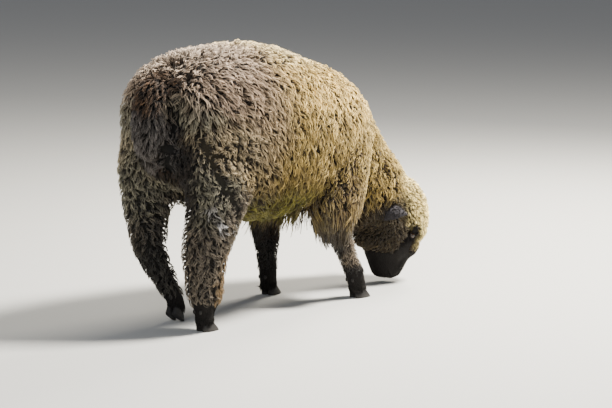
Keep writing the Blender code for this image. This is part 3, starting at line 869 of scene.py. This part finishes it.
# %% Finish of the horn
def horn_material():
    """Grey-black horn with growth rings, scratches and a pale worn edge at the ground."""
    material, tree, shader = new_material("horn", 0.55, 0.0, 0.25)
    place = node(tree, "TexCoord", {})["Object"]
    wobble = noise(tree, place, 60.0, 3.0)
    height = node(tree, "SeparateXYZ", {0: place})[2]
    ring = maths(tree, "ADD", maths(tree, "MULTIPLY", height, 2600.0), maths(tree, "MULTIPLY", wobble, 9.0))
    ring = scaled(tree, maths(tree, "SINE", ring), -1, 1)
    worn = maths(tree, "ADD", height, maths(tree, "MULTIPLY", wobble, 0.012))
    worn = scaled(tree, worn, 0.004, 0.016, 1, 0)
    stain = scaled(tree, wobble, 0.35, 0.65)
    colour = blended(tree, stain, (0.007, 0.0065, 0.0065, 1), (0.016, 0.015, 0.014, 1))
    colour = blended(tree, maths(tree, "MULTIPLY", ring, 0.35), colour, (0.034, 0.031, 0.029, 1))
    colour = blended(tree, maths(tree, "MULTIPLY", worn, 0.6), colour, (0.06, 0.055, 0.05, 1))
    feed(tree, shader["Base Color"], colour)
    feed(tree, shader["Roughness"], scaled(tree, wobble, 0.3, 0.7, 0.55, 0.80))
    bump(tree, shader, maths(tree, "ADD", ring, maths(tree, "MULTIPLY", wobble, 2.0)), 0.5, 0.0003)
    return material


# %% Make the claws
CLAW_CELL = 0.0017
CLAW_TAPER = 0.20
DEWCLAW_SIZE = 0.66
DEWCLAW_INWARDS = 0.55
horn = horn_material()
for name in CLAWS:
    claw_points, claw_faces = fused(*stacked([name])[:2], CLAW_CELL, 4)
    low, high = claw_points.min(0), claw_points.max(0)
    middle = (low + high) / 2
    if "dewclaw" in name:
        beside = np.array(skin_tree.find_nearest(middle)[0])
        claw_points = mix(middle, beside, DEWCLAW_INWARDS) + (claw_points - middle) * DEWCLAW_SIZE
    else:
        tall = (claw_points[:, 2] - low[2]) / (high[2] - low[2])
        taper = CLAW_TAPER * step(0.2, 1.0, tall)
        claw_points[:, :2] = mix(claw_points[:, :2], middle[:2], taper[:, None])
    claw = new_piece(f"horn_{name}", claw_points, claw_faces, horn)
    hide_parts(name)
print("claws:", len(CLAWS), "pieces")

# %% [markdown]
# ## Where locks stand
# Wool grows in staples, bunches of fibres that hold together. They stand evenly but not in rows. Many
# random places are drawn on the shell, and each one kept drives out those that are too near. The same place
# on the skin is the root, and the place on the shell is where the tip ends.

# %% Scatter staples
DRAWN_FOR_EACH = 18


def scatter(spacing, wanted, seed):
    """Random places on the shell, evenly spaced: their quads and their weights on the four corners."""
    dice = np.random.default_rng(seed)
    areas = np.linalg.norm(quad_sides(shell), axis=1) / 2
    space = spacing[quads].mean(1)
    chance = areas * (wanted[quads].mean(1) > 0.5) / space ** 2
    drawn = dice.choice(len(quads), int(chance.sum() * DRAWN_FOR_EACH), p=chance / chance.sum())
    across, up = dice.uniform(size=(2, len(drawn)))
    weights = np.stack([(1 - across) * (1 - up), across * (1 - up), across * up, (1 - across) * up], 1)
    places = np.einsum("ij,ijk->ik", weights, shell[quads[drawn]])
    tree = KDTree(len(places))
    for number, place in enumerate(places.tolist()):
        tree.insert(place, number)
    tree.balance()
    free = np.ones(len(places), bool)
    kept = []
    for number, (place, room) in enumerate(zip(places.tolist(), space[drawn].tolist())):
        if free[number]:
            kept.append(number)
            free[[found[1] for found in tree.find_range(place, room)]] = False
    return drawn[kept], weights[kept]


def at(values, places):
    """Values of the shell's points carried to scattered places."""
    faces, weights = places
    values = np.asarray(values, float)[quads[faces]]
    return np.einsum("ij,ij...->i...", weights, values)


# %% [markdown]
# ## How the wool lies
# Locks hang: on the flanks they point down and lean forward or back, along the spine they part to both
# sides, and on the cheeks they sweep back from the face. So the lie at a point is the pull of gravity, with
# pushes away from the midline and along the body, laid flat onto the skin there. A slow ripple turns it a
# little, because no fleece is combed.

# %% The lie of the coat
LEAN_PLACES = (-0.48, -0.42, -0.25, -0.08, 0.10)
LEAN_FORWARD = (0.05, 0.50, 0.35, -0.20, -0.45)
MIDLINE_WIDTH = 0.09
head_weight = part_is("head")
midline = np.where(head_weight > 0, face_axis[1], 0.0)
sideways = np.clip((shell[:, 1] - midline) / MIDLINE_WIDTH, -1, 1)
head_place = on_head(shell)
cheeks = head_weight * step(0.03, -0.02, head_place[:, 0]) * step(0.02, 0.05, np.abs(head_place[:, 1]))
pull = np.zeros_like(shell)
pull[:, 2] = -1
pull[:, 1] = 0.45 * sideways * (1 - part_is("head", "tail")) * step(-0.42, -0.30, shell[:, 0])
leaning_forward = np.interp(shell[:, 0], LEAN_PLACES, LEAN_FORWARD)
pull[:, 0] = leaning_forward * part_is("trunk", "thigh", "upper") - 0.15 * part_is("neck")
pull += np.outer(head_weight, FORWARD * 0.25) - np.outer(cheeks, FORWARD * 1.6)
pull = mix(pull, UP, bare[:, None])
outwards = unit(spread(normals_of(shell), 3))
pull -= outwards * np.sum(pull * outwards, axis=1, keepdims=True)
lie = unit(spread(unit(pull), 2))
turn = (0.35 * ripple(shell, 0.09, 31) + 0.25 * ripple(shell, 0.035, 32))[:, None]
lie = unit(lie * np.cos(turn) + np.cross(outwards, lie) * np.sin(turn))
print("mean lie:", lie.mean(0).round(3))

# %% [markdown]
# ## Where the fleece opens
# A fleece isn't even. It cracks open along lines where the body bends, such as between thigh and flank, and
# it is lumpy, with shallow valleys between the lumps. Near such a line the locks lean away from it and
# their tips sink towards the skin, and right on it none grow. Less light gets in there, so the tips there
# get painted shade, and so do the tips in the valleys and round the ears, which press the wool down.

# %% Partings
PARTINGS = (  # how wide the parting is, against the usual, and the places it runs through
    (1.25, (-0.460, -0.119, 0.500), (-0.444, -0.145, 0.440), (-0.427, -0.161, 0.382), (-0.388, -0.174, 0.326),
     (-0.360, -0.170, 0.285)),
    (0.8, (-0.433, -0.151, 0.442), (-0.392, -0.169, 0.432), (-0.334, -0.176, 0.422)),
    (0.8, (-0.354, -0.156, 0.602), (-0.331, -0.175, 0.570), (-0.302, -0.187, 0.535)),
    (0.9, (0.305, -0.110, 0.351), (0.321, -0.112, 0.323), (0.331, -0.114, 0.295)),
    (2.4, (-0.478, -0.045, 0.450), (-0.455, -0.010, 0.370), (-0.400, 0.000, 0.280)),
    (0.75, (-0.478, -0.060, 0.590), (-0.476, -0.060, 0.520), (-0.470, -0.055, 0.450)),
    (0.75, (-0.478, 0.058, 0.590), (-0.476, 0.058, 0.520), (-0.470, 0.055, 0.450)),
    (0.8, (0.042, -0.168, 0.352), (0.061, -0.166, 0.304), (0.062, -0.169, 0.253)),
    (0.8, (-0.400, 0.165, 0.500), (-0.405, 0.170, 0.420), (-0.360, 0.175, 0.330)),
    (0.6, (0.100, 0.175, 0.520), (0.120, 0.168, 0.460), (0.110, 0.165, 0.400)),
    (0.6, (-0.200, 0.190, 0.560), (-0.160, 0.198, 0.520), (-0.150, 0.200, 0.470)),
)
BARE_LINE = 0.005
PAINTED_SHADE_LINE = 0.0065
SUNK_LINE = 0.010
LEANING_LINE = 0.013
EAR_PRESS = 0.024


def opened(points):
    """How far each point is from the nearest parting, against its width, and the way that leads from it."""
    far = np.full(len(points), 1.0)
    away = np.zeros_like(points)
    for width, *line in PARTINGS:
        for start, end in zip(line, line[1:]):
            offset = from_segment(points, start, end)
            length = np.linalg.norm(offset, axis=1) / width
            nearer = length < far
            far = np.where(nearer, length, far)
            away = np.where(nearer[:, None], offset, away)
    return far, unit(away)


from_parting, away_from_parting = opened(wander(shell, 0.03, (5, 6, 7), 0.006))
leaning = bell(from_parting, LEANING_LINE)
lie = unit(lie + away_from_parting * leaning[:, None] * 1.2)
grows = from_parting > BARE_LINE
print("partings:", len(PARTINGS), "with", int((~grows).sum()), "bare points")


# %% Sink the tips in creases and give them painted shade
def ear_line(name):
    """The level line through an ear, from one side of its box to the other."""
    low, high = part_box(name)
    return [((low[0] + high[0]) / 2, y, (low[2] + high[2]) / 2) for y in (low[1], high[1])]


near_ear = bell(np.min([segment_distance(shell, *ear_line(name)) for name in EARS], axis=0), EAR_PRESS)
valleys = bell(ripple(shell, 0.085, 61), 0.09) * 0.28 + bell(ripple(shell, 0.045, 62), 0.10) * 0.16
valleys = valleys * woolly
crease = np.clip(valleys + 0.7 * bell(from_parting, SUNK_LINE) + 0.8 * near_ear, 0, 0.8)
tip_ends = mix(shell, skin, crease[:, None])
# Painted shade on the tips: along the partings, in the valleys between lumps, and round the ears.
tips = tips * (1 - 0.75 * bell(from_parting, PAINTED_SHADE_LINE) - 0.45 * valleys - 0.62 * near_ear)[:, None]
coat_tree = BVHTree.FromPolygons(tip_ends.tolist(), quads.tolist())
print("mean crease:", float(crease.mean().round(3)))

# %% [markdown]
# ## Where the coat changes its habit
# On top of the back the locks stand up and point every way. Above the elbow and behind it they hang free of
# the body in a fringe, and a little of that shows under the belly. Where nobody looks, between the legs,
# the locks may stand further apart. Each habit is a weight for each point.

# %% Weights for the coat's habits
ELBOW = 0.035
TAIL_HEAD = (-0.45, 0.0, 0.65)
facing_up = outwards[:, 2]
standing = step(0.35, 0.85, np.abs(facing_up))
tail_head = step(0.13, 0.06, np.linalg.norm(shell - TAIL_HEAD, axis=1))
back_top = np.maximum(step(0.80, 0.97, facing_up), tail_head) * part_is("trunk", "neck")
behind_elbow = step(0.10, 0.06, np.abs(shell[:, 0] - ELBOW)) * step(0.29, 0.25, heights)
behind_elbow = behind_elbow * step(0.16, 0.19, heights) * part_is("trunk", "upper")
behind_elbow = behind_elbow * step(0.2, -0.3, facing_up)
above_elbow = part_is("upper") * step(0.30, 0.24, heights) * step(0.18, 0.21, heights)
belly_locks = 0.15 * part_is("trunk") * step(-0.3, -0.8, facing_up)
hanging = np.max([above_elbow, belly_locks, behind_elbow], axis=0)
between_legs = step(0.10, 0.05, np.abs(shell[:, 1])) * step(0.34, 0.28, heights)
hidden = np.maximum(step(-0.5, -0.8, facing_up), between_legs)
beside_parting = 1 - 0.72 * leaning
print("points of the back's top:", int((back_top > 0.5).sum()), "of the fringe:", int((hanging > 0.5).sum()))

# %% [markdown]
# ## A lock
# Each staple is a few thin strands wound round a common path. The path rises from the skin, bends over and
# comes down on the coat's outside; the strands twist round it. A strand is a tube of three sides, which is
# enough at two millimetres across, and its bump draws the fibres.

# %% Build strands
BODY_LOCK = dict(strands=3, rings=5, sway=0.38, rise=1.15, sink=0.06, twist=0.35, base=0.0052, curl=0.0006,
                 close=0.75, crimp=0.0011, crimps=0.80, width=0.0011)


def ring_places(rings):
    """How far along the strand each ring is: one at the root, the others from a fifth of the way on."""
    return np.append(0, np.linspace(0.22, 1, rings - 1))


def nearest_on(tree, places):
    """The nearest point of a surface to each place, and the surface's normal there."""
    found = [tree.find_nearest(place) for place in places.tolist()]
    return np.array([place[0][:] for place in found]), np.array([place[1][:] for place in found])


def strands(root, tip, lie_there, style, dice):
    """Paths of all strands: rings of points, one row of rings for each strand.

    A staple's path is (1-u)**2 root + 2u(1-u) shoulder + u**2 end, for u from 0 at the root to 1 at the
    tip. The shoulder stands above the root by `rise` times the depth. The end is the nearest place on the
    coat's outside to a point `lay` further along the lie, and `sink` times the depth below it, so locks
    follow the body round; where `free` is 1, it hangs down instead. `sway` turns the lie at random. The
    strands of a staple start anywhere in a disc, `base` wide, turn round the path by `twist` turns, draw in
    to `close` of the disc, open by `curl` and share a wave to the sides, `crimp` high with `crimps` waves.
    """
    count, each, rings = len(root), style["strands"], style["rings"]
    u = ring_places(rings)[None, None, :, None]
    single, every, column = (count, 1, 1, 1), (count, each, 1, 1), (count, 1)
    up = tip - root
    normal = unit(up)
    lie_there = unit(lie_there + unit(np.cross(normal, lie_there)) * dice.normal(0, style["sway"], column))
    side = unit(np.cross(normal, lie_there))
    reach = style["lay"][:, None] * dice.uniform(0.7, 1.3, column)
    outside, outward = nearest_on(coat_tree, tip + lie_there * reach)
    end = outside - outward * (np.linalg.norm(up, axis=1, keepdims=True) * style["sink"]
                               * dice.uniform(0.6, 1.4, column))
    falling = unit(lie_there * 0.6 - UP)
    end = mix(end, tip + falling * reach, style["free"][:, None] * dice.uniform(0.3, 1, column))
    shoulder = root + up * style["rise"] * dice.uniform(0.70, 1.12, column) + lie_there * reach * 0.2
    normal, side, lie_there, root, shoulder, end = (
        rows[:, None, None] for rows in (normal, side, lie_there, root, shoulder, end))
    end = root + (end - root) * dice.uniform(0.76, 1.04, every)
    path = (1 - u) ** 2 * root + 2 * u * (1 - u) * shoulder + u ** 2 * end
    twist = dice.choice([-1, 1], single) * style["twist"] * dice.uniform(0.7, 1.3, single)
    angle = 2 * np.pi * (dice.uniform(0, 1, every) + twist * u)
    wide = style["base"] * np.sqrt(dice.uniform(0.05, 1, every)) * mix(1, style["close"], step(0.3, 1.0, u))
    wide = wide + style["curl"] * step(0.2, 0.8, u)
    path = path + (side * np.cos(angle) + mix(lie_there, normal, 0.7 * u) * np.sin(angle) * 0.7) * wide
    phase = dice.uniform(0, 1, single) + dice.normal(0, 0.12, every)
    path = path + side * style["crimp"] * np.sin(2 * np.pi * (style["crimps"] * u + phase)) * step(0, 0.5, u)
    return path.reshape(count * each, rings, 3), np.repeat(side.reshape(count, 3), each, axis=0)


# %% Tubes round the strands
def tubes(path, side, width):
    """Three-sided closed tubes along the paths: points, triangles, and each point's place along and round."""
    count, rings, _ = path.shape
    ahead = unit(np.gradient(path, axis=1))
    across = unit(np.cross(ahead, side[:, None] + 0.01))
    over = np.cross(ahead, across)
    turn = np.arange(3) * (2 * np.pi / 3)
    ring = across[:, :, None] * np.cos(turn)[:, None] + over[:, :, None] * np.sin(turn)[:, None]
    u = ring_places(rings)
    thick = width[:, None] * np.interp(u, (0, 0.3, 0.7, 1), (0.9, 1.0, 0.85, 0.40))
    walls = path[:, :, None] + ring * thick[:, :, None, None]
    end = path[:, -1] + ahead[:, -1] * width[:, None] * 1.3
    points = np.concatenate([walls.reshape(count, rings * 3, 3), end[:, None]], 1)
    faces = np.concatenate([wall(rings, 3), fan(rings * 3, rings * 3 - 3, 3), [[0, 2, 1]]])
    along = np.append(np.repeat(u, 3), 1.0)
    around = np.append(np.tile(np.arange(3) / 3, rings), 0.5)
    return points, faces, along, around


# %% [markdown]
# ## From strands to pieces of coat
# The strands of one region are joined into one mesh. Each point knows how far along its lock it is, a
# random number for its lock, and where round the strand it is. The second map, for baking, puts each lock
# as a tiny patch at its root's place on an unwrap of the skin: round and along the region's own axis, as a
# label is wrapped round a tin.

# %% Join strands
PATCH = 0.003
TRIANGLES = {}


def tin_unwrap(points, axis_start, axis_end):
    """Place of each point round and along an axis, both from 0 to 1 over the points' own range."""
    start, end = np.asarray(axis_start, float), np.asarray(axis_end, float)
    ahead = unit(end - start)
    level = unit(np.cross(ahead, (0.3, 1.0, 0.2)))
    away = points - start
    flat = np.stack([np.arctan2(away @ np.cross(ahead, level), away @ level), away @ ahead], 1)
    flat = flat - flat.min(0)
    return 0.01 + 0.98 * flat / np.maximum(flat.max(0), 1e-6)


def coat_piece(name, path, side, width, chance, colours, bake_places, finish):
    """Tubes along all paths as one piece; chance, colour and place for baking have a row for each path."""
    material, slot = finish
    points, faces, along, around = tubes(path, side, width)
    count, size = len(points), len(along)
    all_faces = (faces[None] + (np.arange(count) * size)[:, None, None]).reshape(-1, 3)
    piece = new_piece(name, points.reshape(-1, 3), all_faces, material)
    lock = np.stack(np.broadcast_arrays(along, chance.reshape(-1, 1), around), -1)
    layer = piece.data.attributes.new("lock", "FLOAT_VECTOR", "POINT")
    layer.data.foreach_set("vector", lock.astype(np.float32).ravel())
    paint(piece, "tint", np.repeat(colours, size, axis=0))
    patch = np.stack([around - 0.5, along - 0.5], 1) * PATCH
    unwrap(piece, "OFBake", (bake_places[:, None] + patch).reshape(-1, 2), all_faces)
    TRIANGLES[name] = len(all_faces)


def wool_piece(name, places, lay, axis, finish, seed, **changes):
    """Grows the locks of one region at the given places; changes are what differs from a lock of the body."""
    style = {**BODY_LOCK, **changes, "lay": at(lay, places), "free": at(hanging, places)}
    style["sway"] = style["sway"] + at(1.3 * back_top, places)[:, None]
    each = style["strands"]
    dice = np.random.default_rng(seed)
    root = nearest_on(skin_tree, at(skin, places))[0]
    path, side = strands(root, at(tip_ends, places), at(lie, places), style, dice)
    width = style["width"] * dice.uniform(0.75, 1.2, len(path))
    chance = dice.uniform(size=(len(root), 1)) * 0.42 + dice.uniform(size=(len(root), each)) * 0.58
    coat_piece(name, path, side, width, chance, np.repeat(at(tips, places), each, axis=0),
               np.repeat(tin_unwrap(root, *axis), each, axis=0), finish)


# %% [markdown]
# ## The fleece on the body
# The body's wool is the longest. On the flanks the locks lie along the body and hang in waves, and on the
# back they stand up and show only their curled tips. The fleece is cut into sections, so that no one piece
# is too large, and no cut shows between locks that grow from one scatter.

# %% Grow the body's fleece
BODY_SPACING = 0.0080
SECTIONS = {"rump": (-1, -0.33), "loin": (-0.33, -0.16), "ribs": (-0.16, 0.02), "shoulders": (0.02, 0.20),
            "neck": (0.20, 1)}
BODY_AXIS = ((-0.5, 0, 0.45), (0.3, 0, 0.42))
BROWN = (fleece, "fleece")
BLACK_BROWN = (dark_fleece, "dark_fleece")
body_lay = (mix(0.032, 0.028, standing) * (1 - 0.25 * back_top) * mix(1.0, 0.7, part_is("neck"))
            * beside_parting * (1 + 0.5 * hanging + 0.9 * behind_elbow))
body_spacing = BODY_SPACING * (1 + 0.3 * hidden) * (1 - 0.15 * behind_elbow)
body_quads, body_weights = scatter(body_spacing, part_is("trunk", "neck") * grows, 41)
body_x, body_y, _ = at(shell, (body_quads, body_weights)).T
seed = 50
for section, (rear, front) in SECTIONS.items():
    for side in SIDES:
        rows = (body_x >= rear) & (body_x < front) & ((body_y > 0) == (side == "left"))
        places = body_quads[rows], body_weights[rows]
        wool_piece(f"wool_{section}_{side}", places, body_lay, BODY_AXIS, BROWN, seed)
        seed += 1
print("body wool:", sum(TRIANGLES.values()), "triangles in", len(TRIANGLES), "pieces")

# %% [markdown]
# ## Legs, tail and head
# The hind legs have loose wavy locks that turn every way, and the forelegs a soft fringe over short close
# wool. The tail hangs in long locks, and the head wears small close curls.

# %% Kinds of wool that differ from the body's
HIND_WOOL = dict(spacing=0.0080, lay=0.019, strands=4, rings=6, twist=0.5, base=0.0050, curl=0.0008, sway=0.6,
                 rise=1.05, sink=-0.10, close=0.6, crimp=0.0018, crimps=0.85, width=0.0010)
FORE_WOOL = dict(spacing=0.0074, lay=0.018)
CANNON_WOOL = dict(spacing=0.0056, lay=0.010, rings=4, base=0.0026, curl=0.0004, width=0.0010, rise=0.9,
                   sink=-0.2, sway=0.3, crimp=0.0010, crimps=0.8)
TAIL_WOOL = dict(spacing=0.0078, lay=0.026, strands=4, sway=0.3, sink=0.0, rise=1.0, close=0.3, crimp=0.0018)
HEAD_CURLS = dict(spacing=0.0052, lay=0.009, strands=4, sway=0.6, twist=0.40, base=0.0028, close=0.8,
                  crimp=0.0012, crimps=0.65, width=0.0008, rise=1.1, sink=0.08)
TAIL_AXIS = ((-0.5, 0, 0.4), (-0.5, 0, 0.63))
HEAD_AXIS = (face_axis - (0, 0, 0.2), face_axis + (0, 0, 0.3))


# %% Grow the other wool
def region(name, wanted, axis, finish, seed, spacing, lay, **changes):
    """Scatters and grows the wool of one region."""
    places = scatter(spacing * (1 + 0.3 * hidden) * (1 - 0.10 * behind_elbow), wanted * grows, seed)
    lay = lay * beside_parting * (1 + 0.9 * hanging + 0.9 * behind_elbow)
    wool_piece(name, places, lay, axis, finish, seed + 1, **changes)


def box_middle(name):
    """The middle of a node's box."""
    low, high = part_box(name)
    return low * 0.5 + high * 0.5


for number, side in enumerate(SIDES):
    hind, fore = f"hindleg_{side}", f"foreleg_{side}"
    hind_axis = (box_middle(f"{hind}_shank"), box_middle(f"{hind}_thigh"))
    above_foot = part_is(f"{hind}_thigh", f"{hind}_shank") * (heights > 0.06)
    region(f"wool_{hind}", above_foot, hind_axis, BLACK_BROWN, 70 + number * 4, **HIND_WOOL)
    fore_axis = (box_middle(f"{fore}_upper"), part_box(f"{fore}_upper")[1])
    region(f"wool_{fore}", part_is(f"{fore}_upper"), fore_axis, BROWN, 90 + number * 4, **FORE_WOOL)
    middle, low = box_middle(f"{fore}_lower"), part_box(f"{fore}_lower")[0]
    cannon = part_is(f"{fore}_lower", f"{fore}_foot") * (depth > 0.0035)
    region(f"wool_cannon_{side}", cannon, (middle, (middle[0], low[1], 0.3)), BLACK_BROWN, 110 + number * 4,
           **CANNON_WOOL)
region("wool_tail", part_is("tail"), TAIL_AXIS, BLACK_BROWN, 130, **TAIL_WOOL)
for number, half in enumerate(("front", "rear")):
    here = head_weight * (depth > 0.0030) * ((head_place[:, 0] > 0.0) == (half == "front"))
    region(f"wool_head_{half}", here, HEAD_AXIS, (head_fleece, "fleece"), 140 + number * 4, **HEAD_CURLS)
print("all wool:", sum(TRIANGLES.values()), "triangles:", TRIANGLES)

# %% [markdown]
# ## Short hair
# The face, ears and feet have flat hair a few millimetres long. Its grain is drawn by the material, but
# small tufts lift off here and there and break the hard edge of the form. Each tuft is one short strand
# that lies down at once: from the nose upwards on the face, downwards on the legs, and to the tip on the
# ears.

# %% Kinds of short hair, and how it is rooted
SHORT_HAIR_DEPTH = 0.0055
CLEAR_OF_LIDS = EYEBALL + 0.0045
# The ear's tufts carry the same painted sheen as the back of the ear.
EAR_TUFT_AND_SHEEN = np.array((0.050, 0.046, 0.049))
TUFTS_ON_EAR = 700
FACE_HAIR = dict(space=0.0040, length=0.0065, thick=0.00055)
LEG_HAIR = dict(space=0.0042, length=0.0085, thick=0.0007)
CORONET_HAIR = dict(space=0.0028, length=0.0170, thick=0.0010)
EAR_HAIR = dict(length=0.0075, thick=0.0005)


def hair_piece(name, root, normal, lying, colour, seed, length, thick):
    """Short flat strands: from just under the skin, up to a low crown, and down along it to the tip."""
    dice = np.random.default_rng(seed)
    column = (len(root), 1)
    lying = unit(lying + np.cross(normal, lying) * dice.normal(0, 0.25, column))
    reach = length * dice.uniform(0.7, 1.3, column)
    lift = thick * dice.uniform(0.5, 1.2, column)
    path = np.stack([root - normal * thick, root + lying * reach * 0.4 + normal * lift,
                     root + lying * reach + normal * lift * 0.6], 1)
    width = thick * dice.uniform(0.7, 1.2, len(root))
    middle = root.mean(0)
    coat_piece(name, path, unit(np.cross(normal, lying)), width, dice.uniform(size=column), colour,
               tin_unwrap(root, middle - UP * 0.3, middle + UP * 0.3), (hair, "short_hair"))


def skin_hair(name, wanted, seed, space, **size):
    """Scatters short hair over a region of the skin, its roots set down on the carved surface."""
    places = scatter(np.full(len(shell), space), wanted.astype(float), seed)
    root, normal = nearest_on(skin_tree, at(skin, places))
    lying = at(lie, places)
    lying = unit(lying - normal * np.sum(lying * normal, axis=1, keepdims=True))
    colour = markings_and_painted_light(root, np.ones(len(root))) * 2.2
    clear = eye_distance(root) > CLEAR_OF_LIDS
    hair_piece(name, root[clear], normal[clear], lying[clear], colour[clear], seed + 1, **size)


def ear_hair(side, seed, count=TUFTS_ON_EAR):
    """Random places on an ear by area; the hair lies along the leaf to its tip."""
    points, triangles, long_way = EAR_LEAVES[side]
    dice = np.random.default_rng(seed)
    corners = points[triangles]
    normals = np.cross(corners[:, 1] - corners[:, 0], corners[:, 2] - corners[:, 0])
    areas = np.linalg.norm(normals, axis=1)
    drawn = dice.choice(len(triangles), count, p=areas / areas.sum())
    root = np.einsum("ij,ijk->ik", dice.dirichlet((1, 1, 1), count), corners[drawn])
    lying, colour = np.tile(long_way, (count, 1)), np.tile(EAR_TUFT_AND_SHEEN, (count, 1))
    hair_piece(f"hair_ear_{side}", root, unit(normals[drawn]), lying, colour, seed + 1, **EAR_HAIR)


# %% Grow short hair
short_haired = depth < SHORT_HAIR_DEPTH
skin_hair("hair_face", short_haired & (head_weight > 0), 160, **FACE_HAIR)
for number, leg in enumerate(LEG_PARTS):
    low_leg = short_haired & (part_is(leg) > 0) & (heights > 0.012)
    skin_hair(f"hair_{leg}s", low_leg, 170 + number * 4, **LEG_HAIR)
    coronet = sum(part_is(foot) * (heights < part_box(foot)[0][2] + 0.024)
                  for foot in (f"{leg}_{side}_foot" for side in SIDES))
    skin_hair(f"hair_{leg}_coronets", coronet > 0, 190 + number * 4, **CORONET_HAIR)
for number, side in enumerate(SIDES):
    ear_hair(side, 180 + number * 4)
print("coat:", sum(TRIANGLES.values()), "triangles:", TRIANGLES)

# %% [markdown]
# ## Floor, light and camera
# The floor is plain and pale. Of three soft lamps, the key from high on the animal's right gives each lock
# a lit and a shaded side, a weak cool fill keeps the rear readable, and a warm rim lamp in front lights the
# edge of head and neck. The camera has a long lens, so the far legs aren't drawn much smaller than the near
# ones.

# %% Floor and world
floor_mesh = bpy.data.meshes.new("floor")
floor_mesh.from_pydata([(-60, -60, 0), (60, -60, 0), (60, 60, 0), (-60, 60, 0)], [], [(0, 1, 2, 3)])
floor = bpy.data.objects.new("floor", floor_mesh)
bpy.context.scene.collection.objects.link(floor)
floor_material, _, floor_shader = new_material("pale floor", 0.9)
floor_shader["Base Color"].default_value = (0.45, 0.45, 0.435, 1)
floor_mesh.materials.append(floor_material)
world = bpy.data.worlds.new("studio")
bpy.context.scene.world = world
world.use_nodes = True
backdrop = next(n for n in world.node_tree.nodes if n.type == "BACKGROUND")
backdrop.inputs["Color"].default_value = (0.9, 0.93, 1.0, 1)
backdrop.inputs["Strength"].default_value = 0.30
print("floor and world made")

# %% Lamps and camera
LENS = 135
SENSOR = 36
AZIMUTH = np.radians(-52)
ELEVATION = np.radians(8.5)
DISTANCE = 5.6
AIM = np.array([-0.170, -0.2178, 0.300])


def placed(name, data, place, ahead):
    """An object that stands at a place and looks along a direction."""
    made = bpy.data.objects.new(name, data)
    made.location = place
    made.rotation_euler = Vector(ahead).to_track_quat("-Z", "Y").to_euler()
    bpy.context.scene.collection.objects.link(made)
    return made


def lamp(name, place, aim, size, power, colour):
    """A square soft light that looks at a point."""
    data = bpy.data.lights.new(name, "AREA")
    data.size = size
    data.energy = power
    data.color = colour
    placed(name, data, place, Vector(aim) - Vector(place))


lamp("key", (1.2, -1.5, 3.3), (0, 0, 0.35), 0.8, 830, (1.0, 0.95, 0.86))
lamp("fill", (-3.2, -1.2, 1.8), (0, 0, 0.3), 2.0, 60, (0.92, 0.96, 1.0))
lamp("rim", (2.4, 0.3, 2.0), (0.45, -0.05, 0.30), 1.0, 170, (1.0, 0.93, 0.80))
level = np.cos(ELEVATION)
back = np.array([np.sin(AZIMUTH) * level, -np.cos(AZIMUTH) * level, np.sin(ELEVATION)])
camera_data = bpy.data.cameras.new("camera")
camera_data.lens = LENS
camera_data.sensor_width = SENSOR
camera = placed("camera", camera_data, AIM + back * DISTANCE, -back)
bpy.context.scene.camera = camera
print("camera at", [round(v, 3) for v in camera.location])
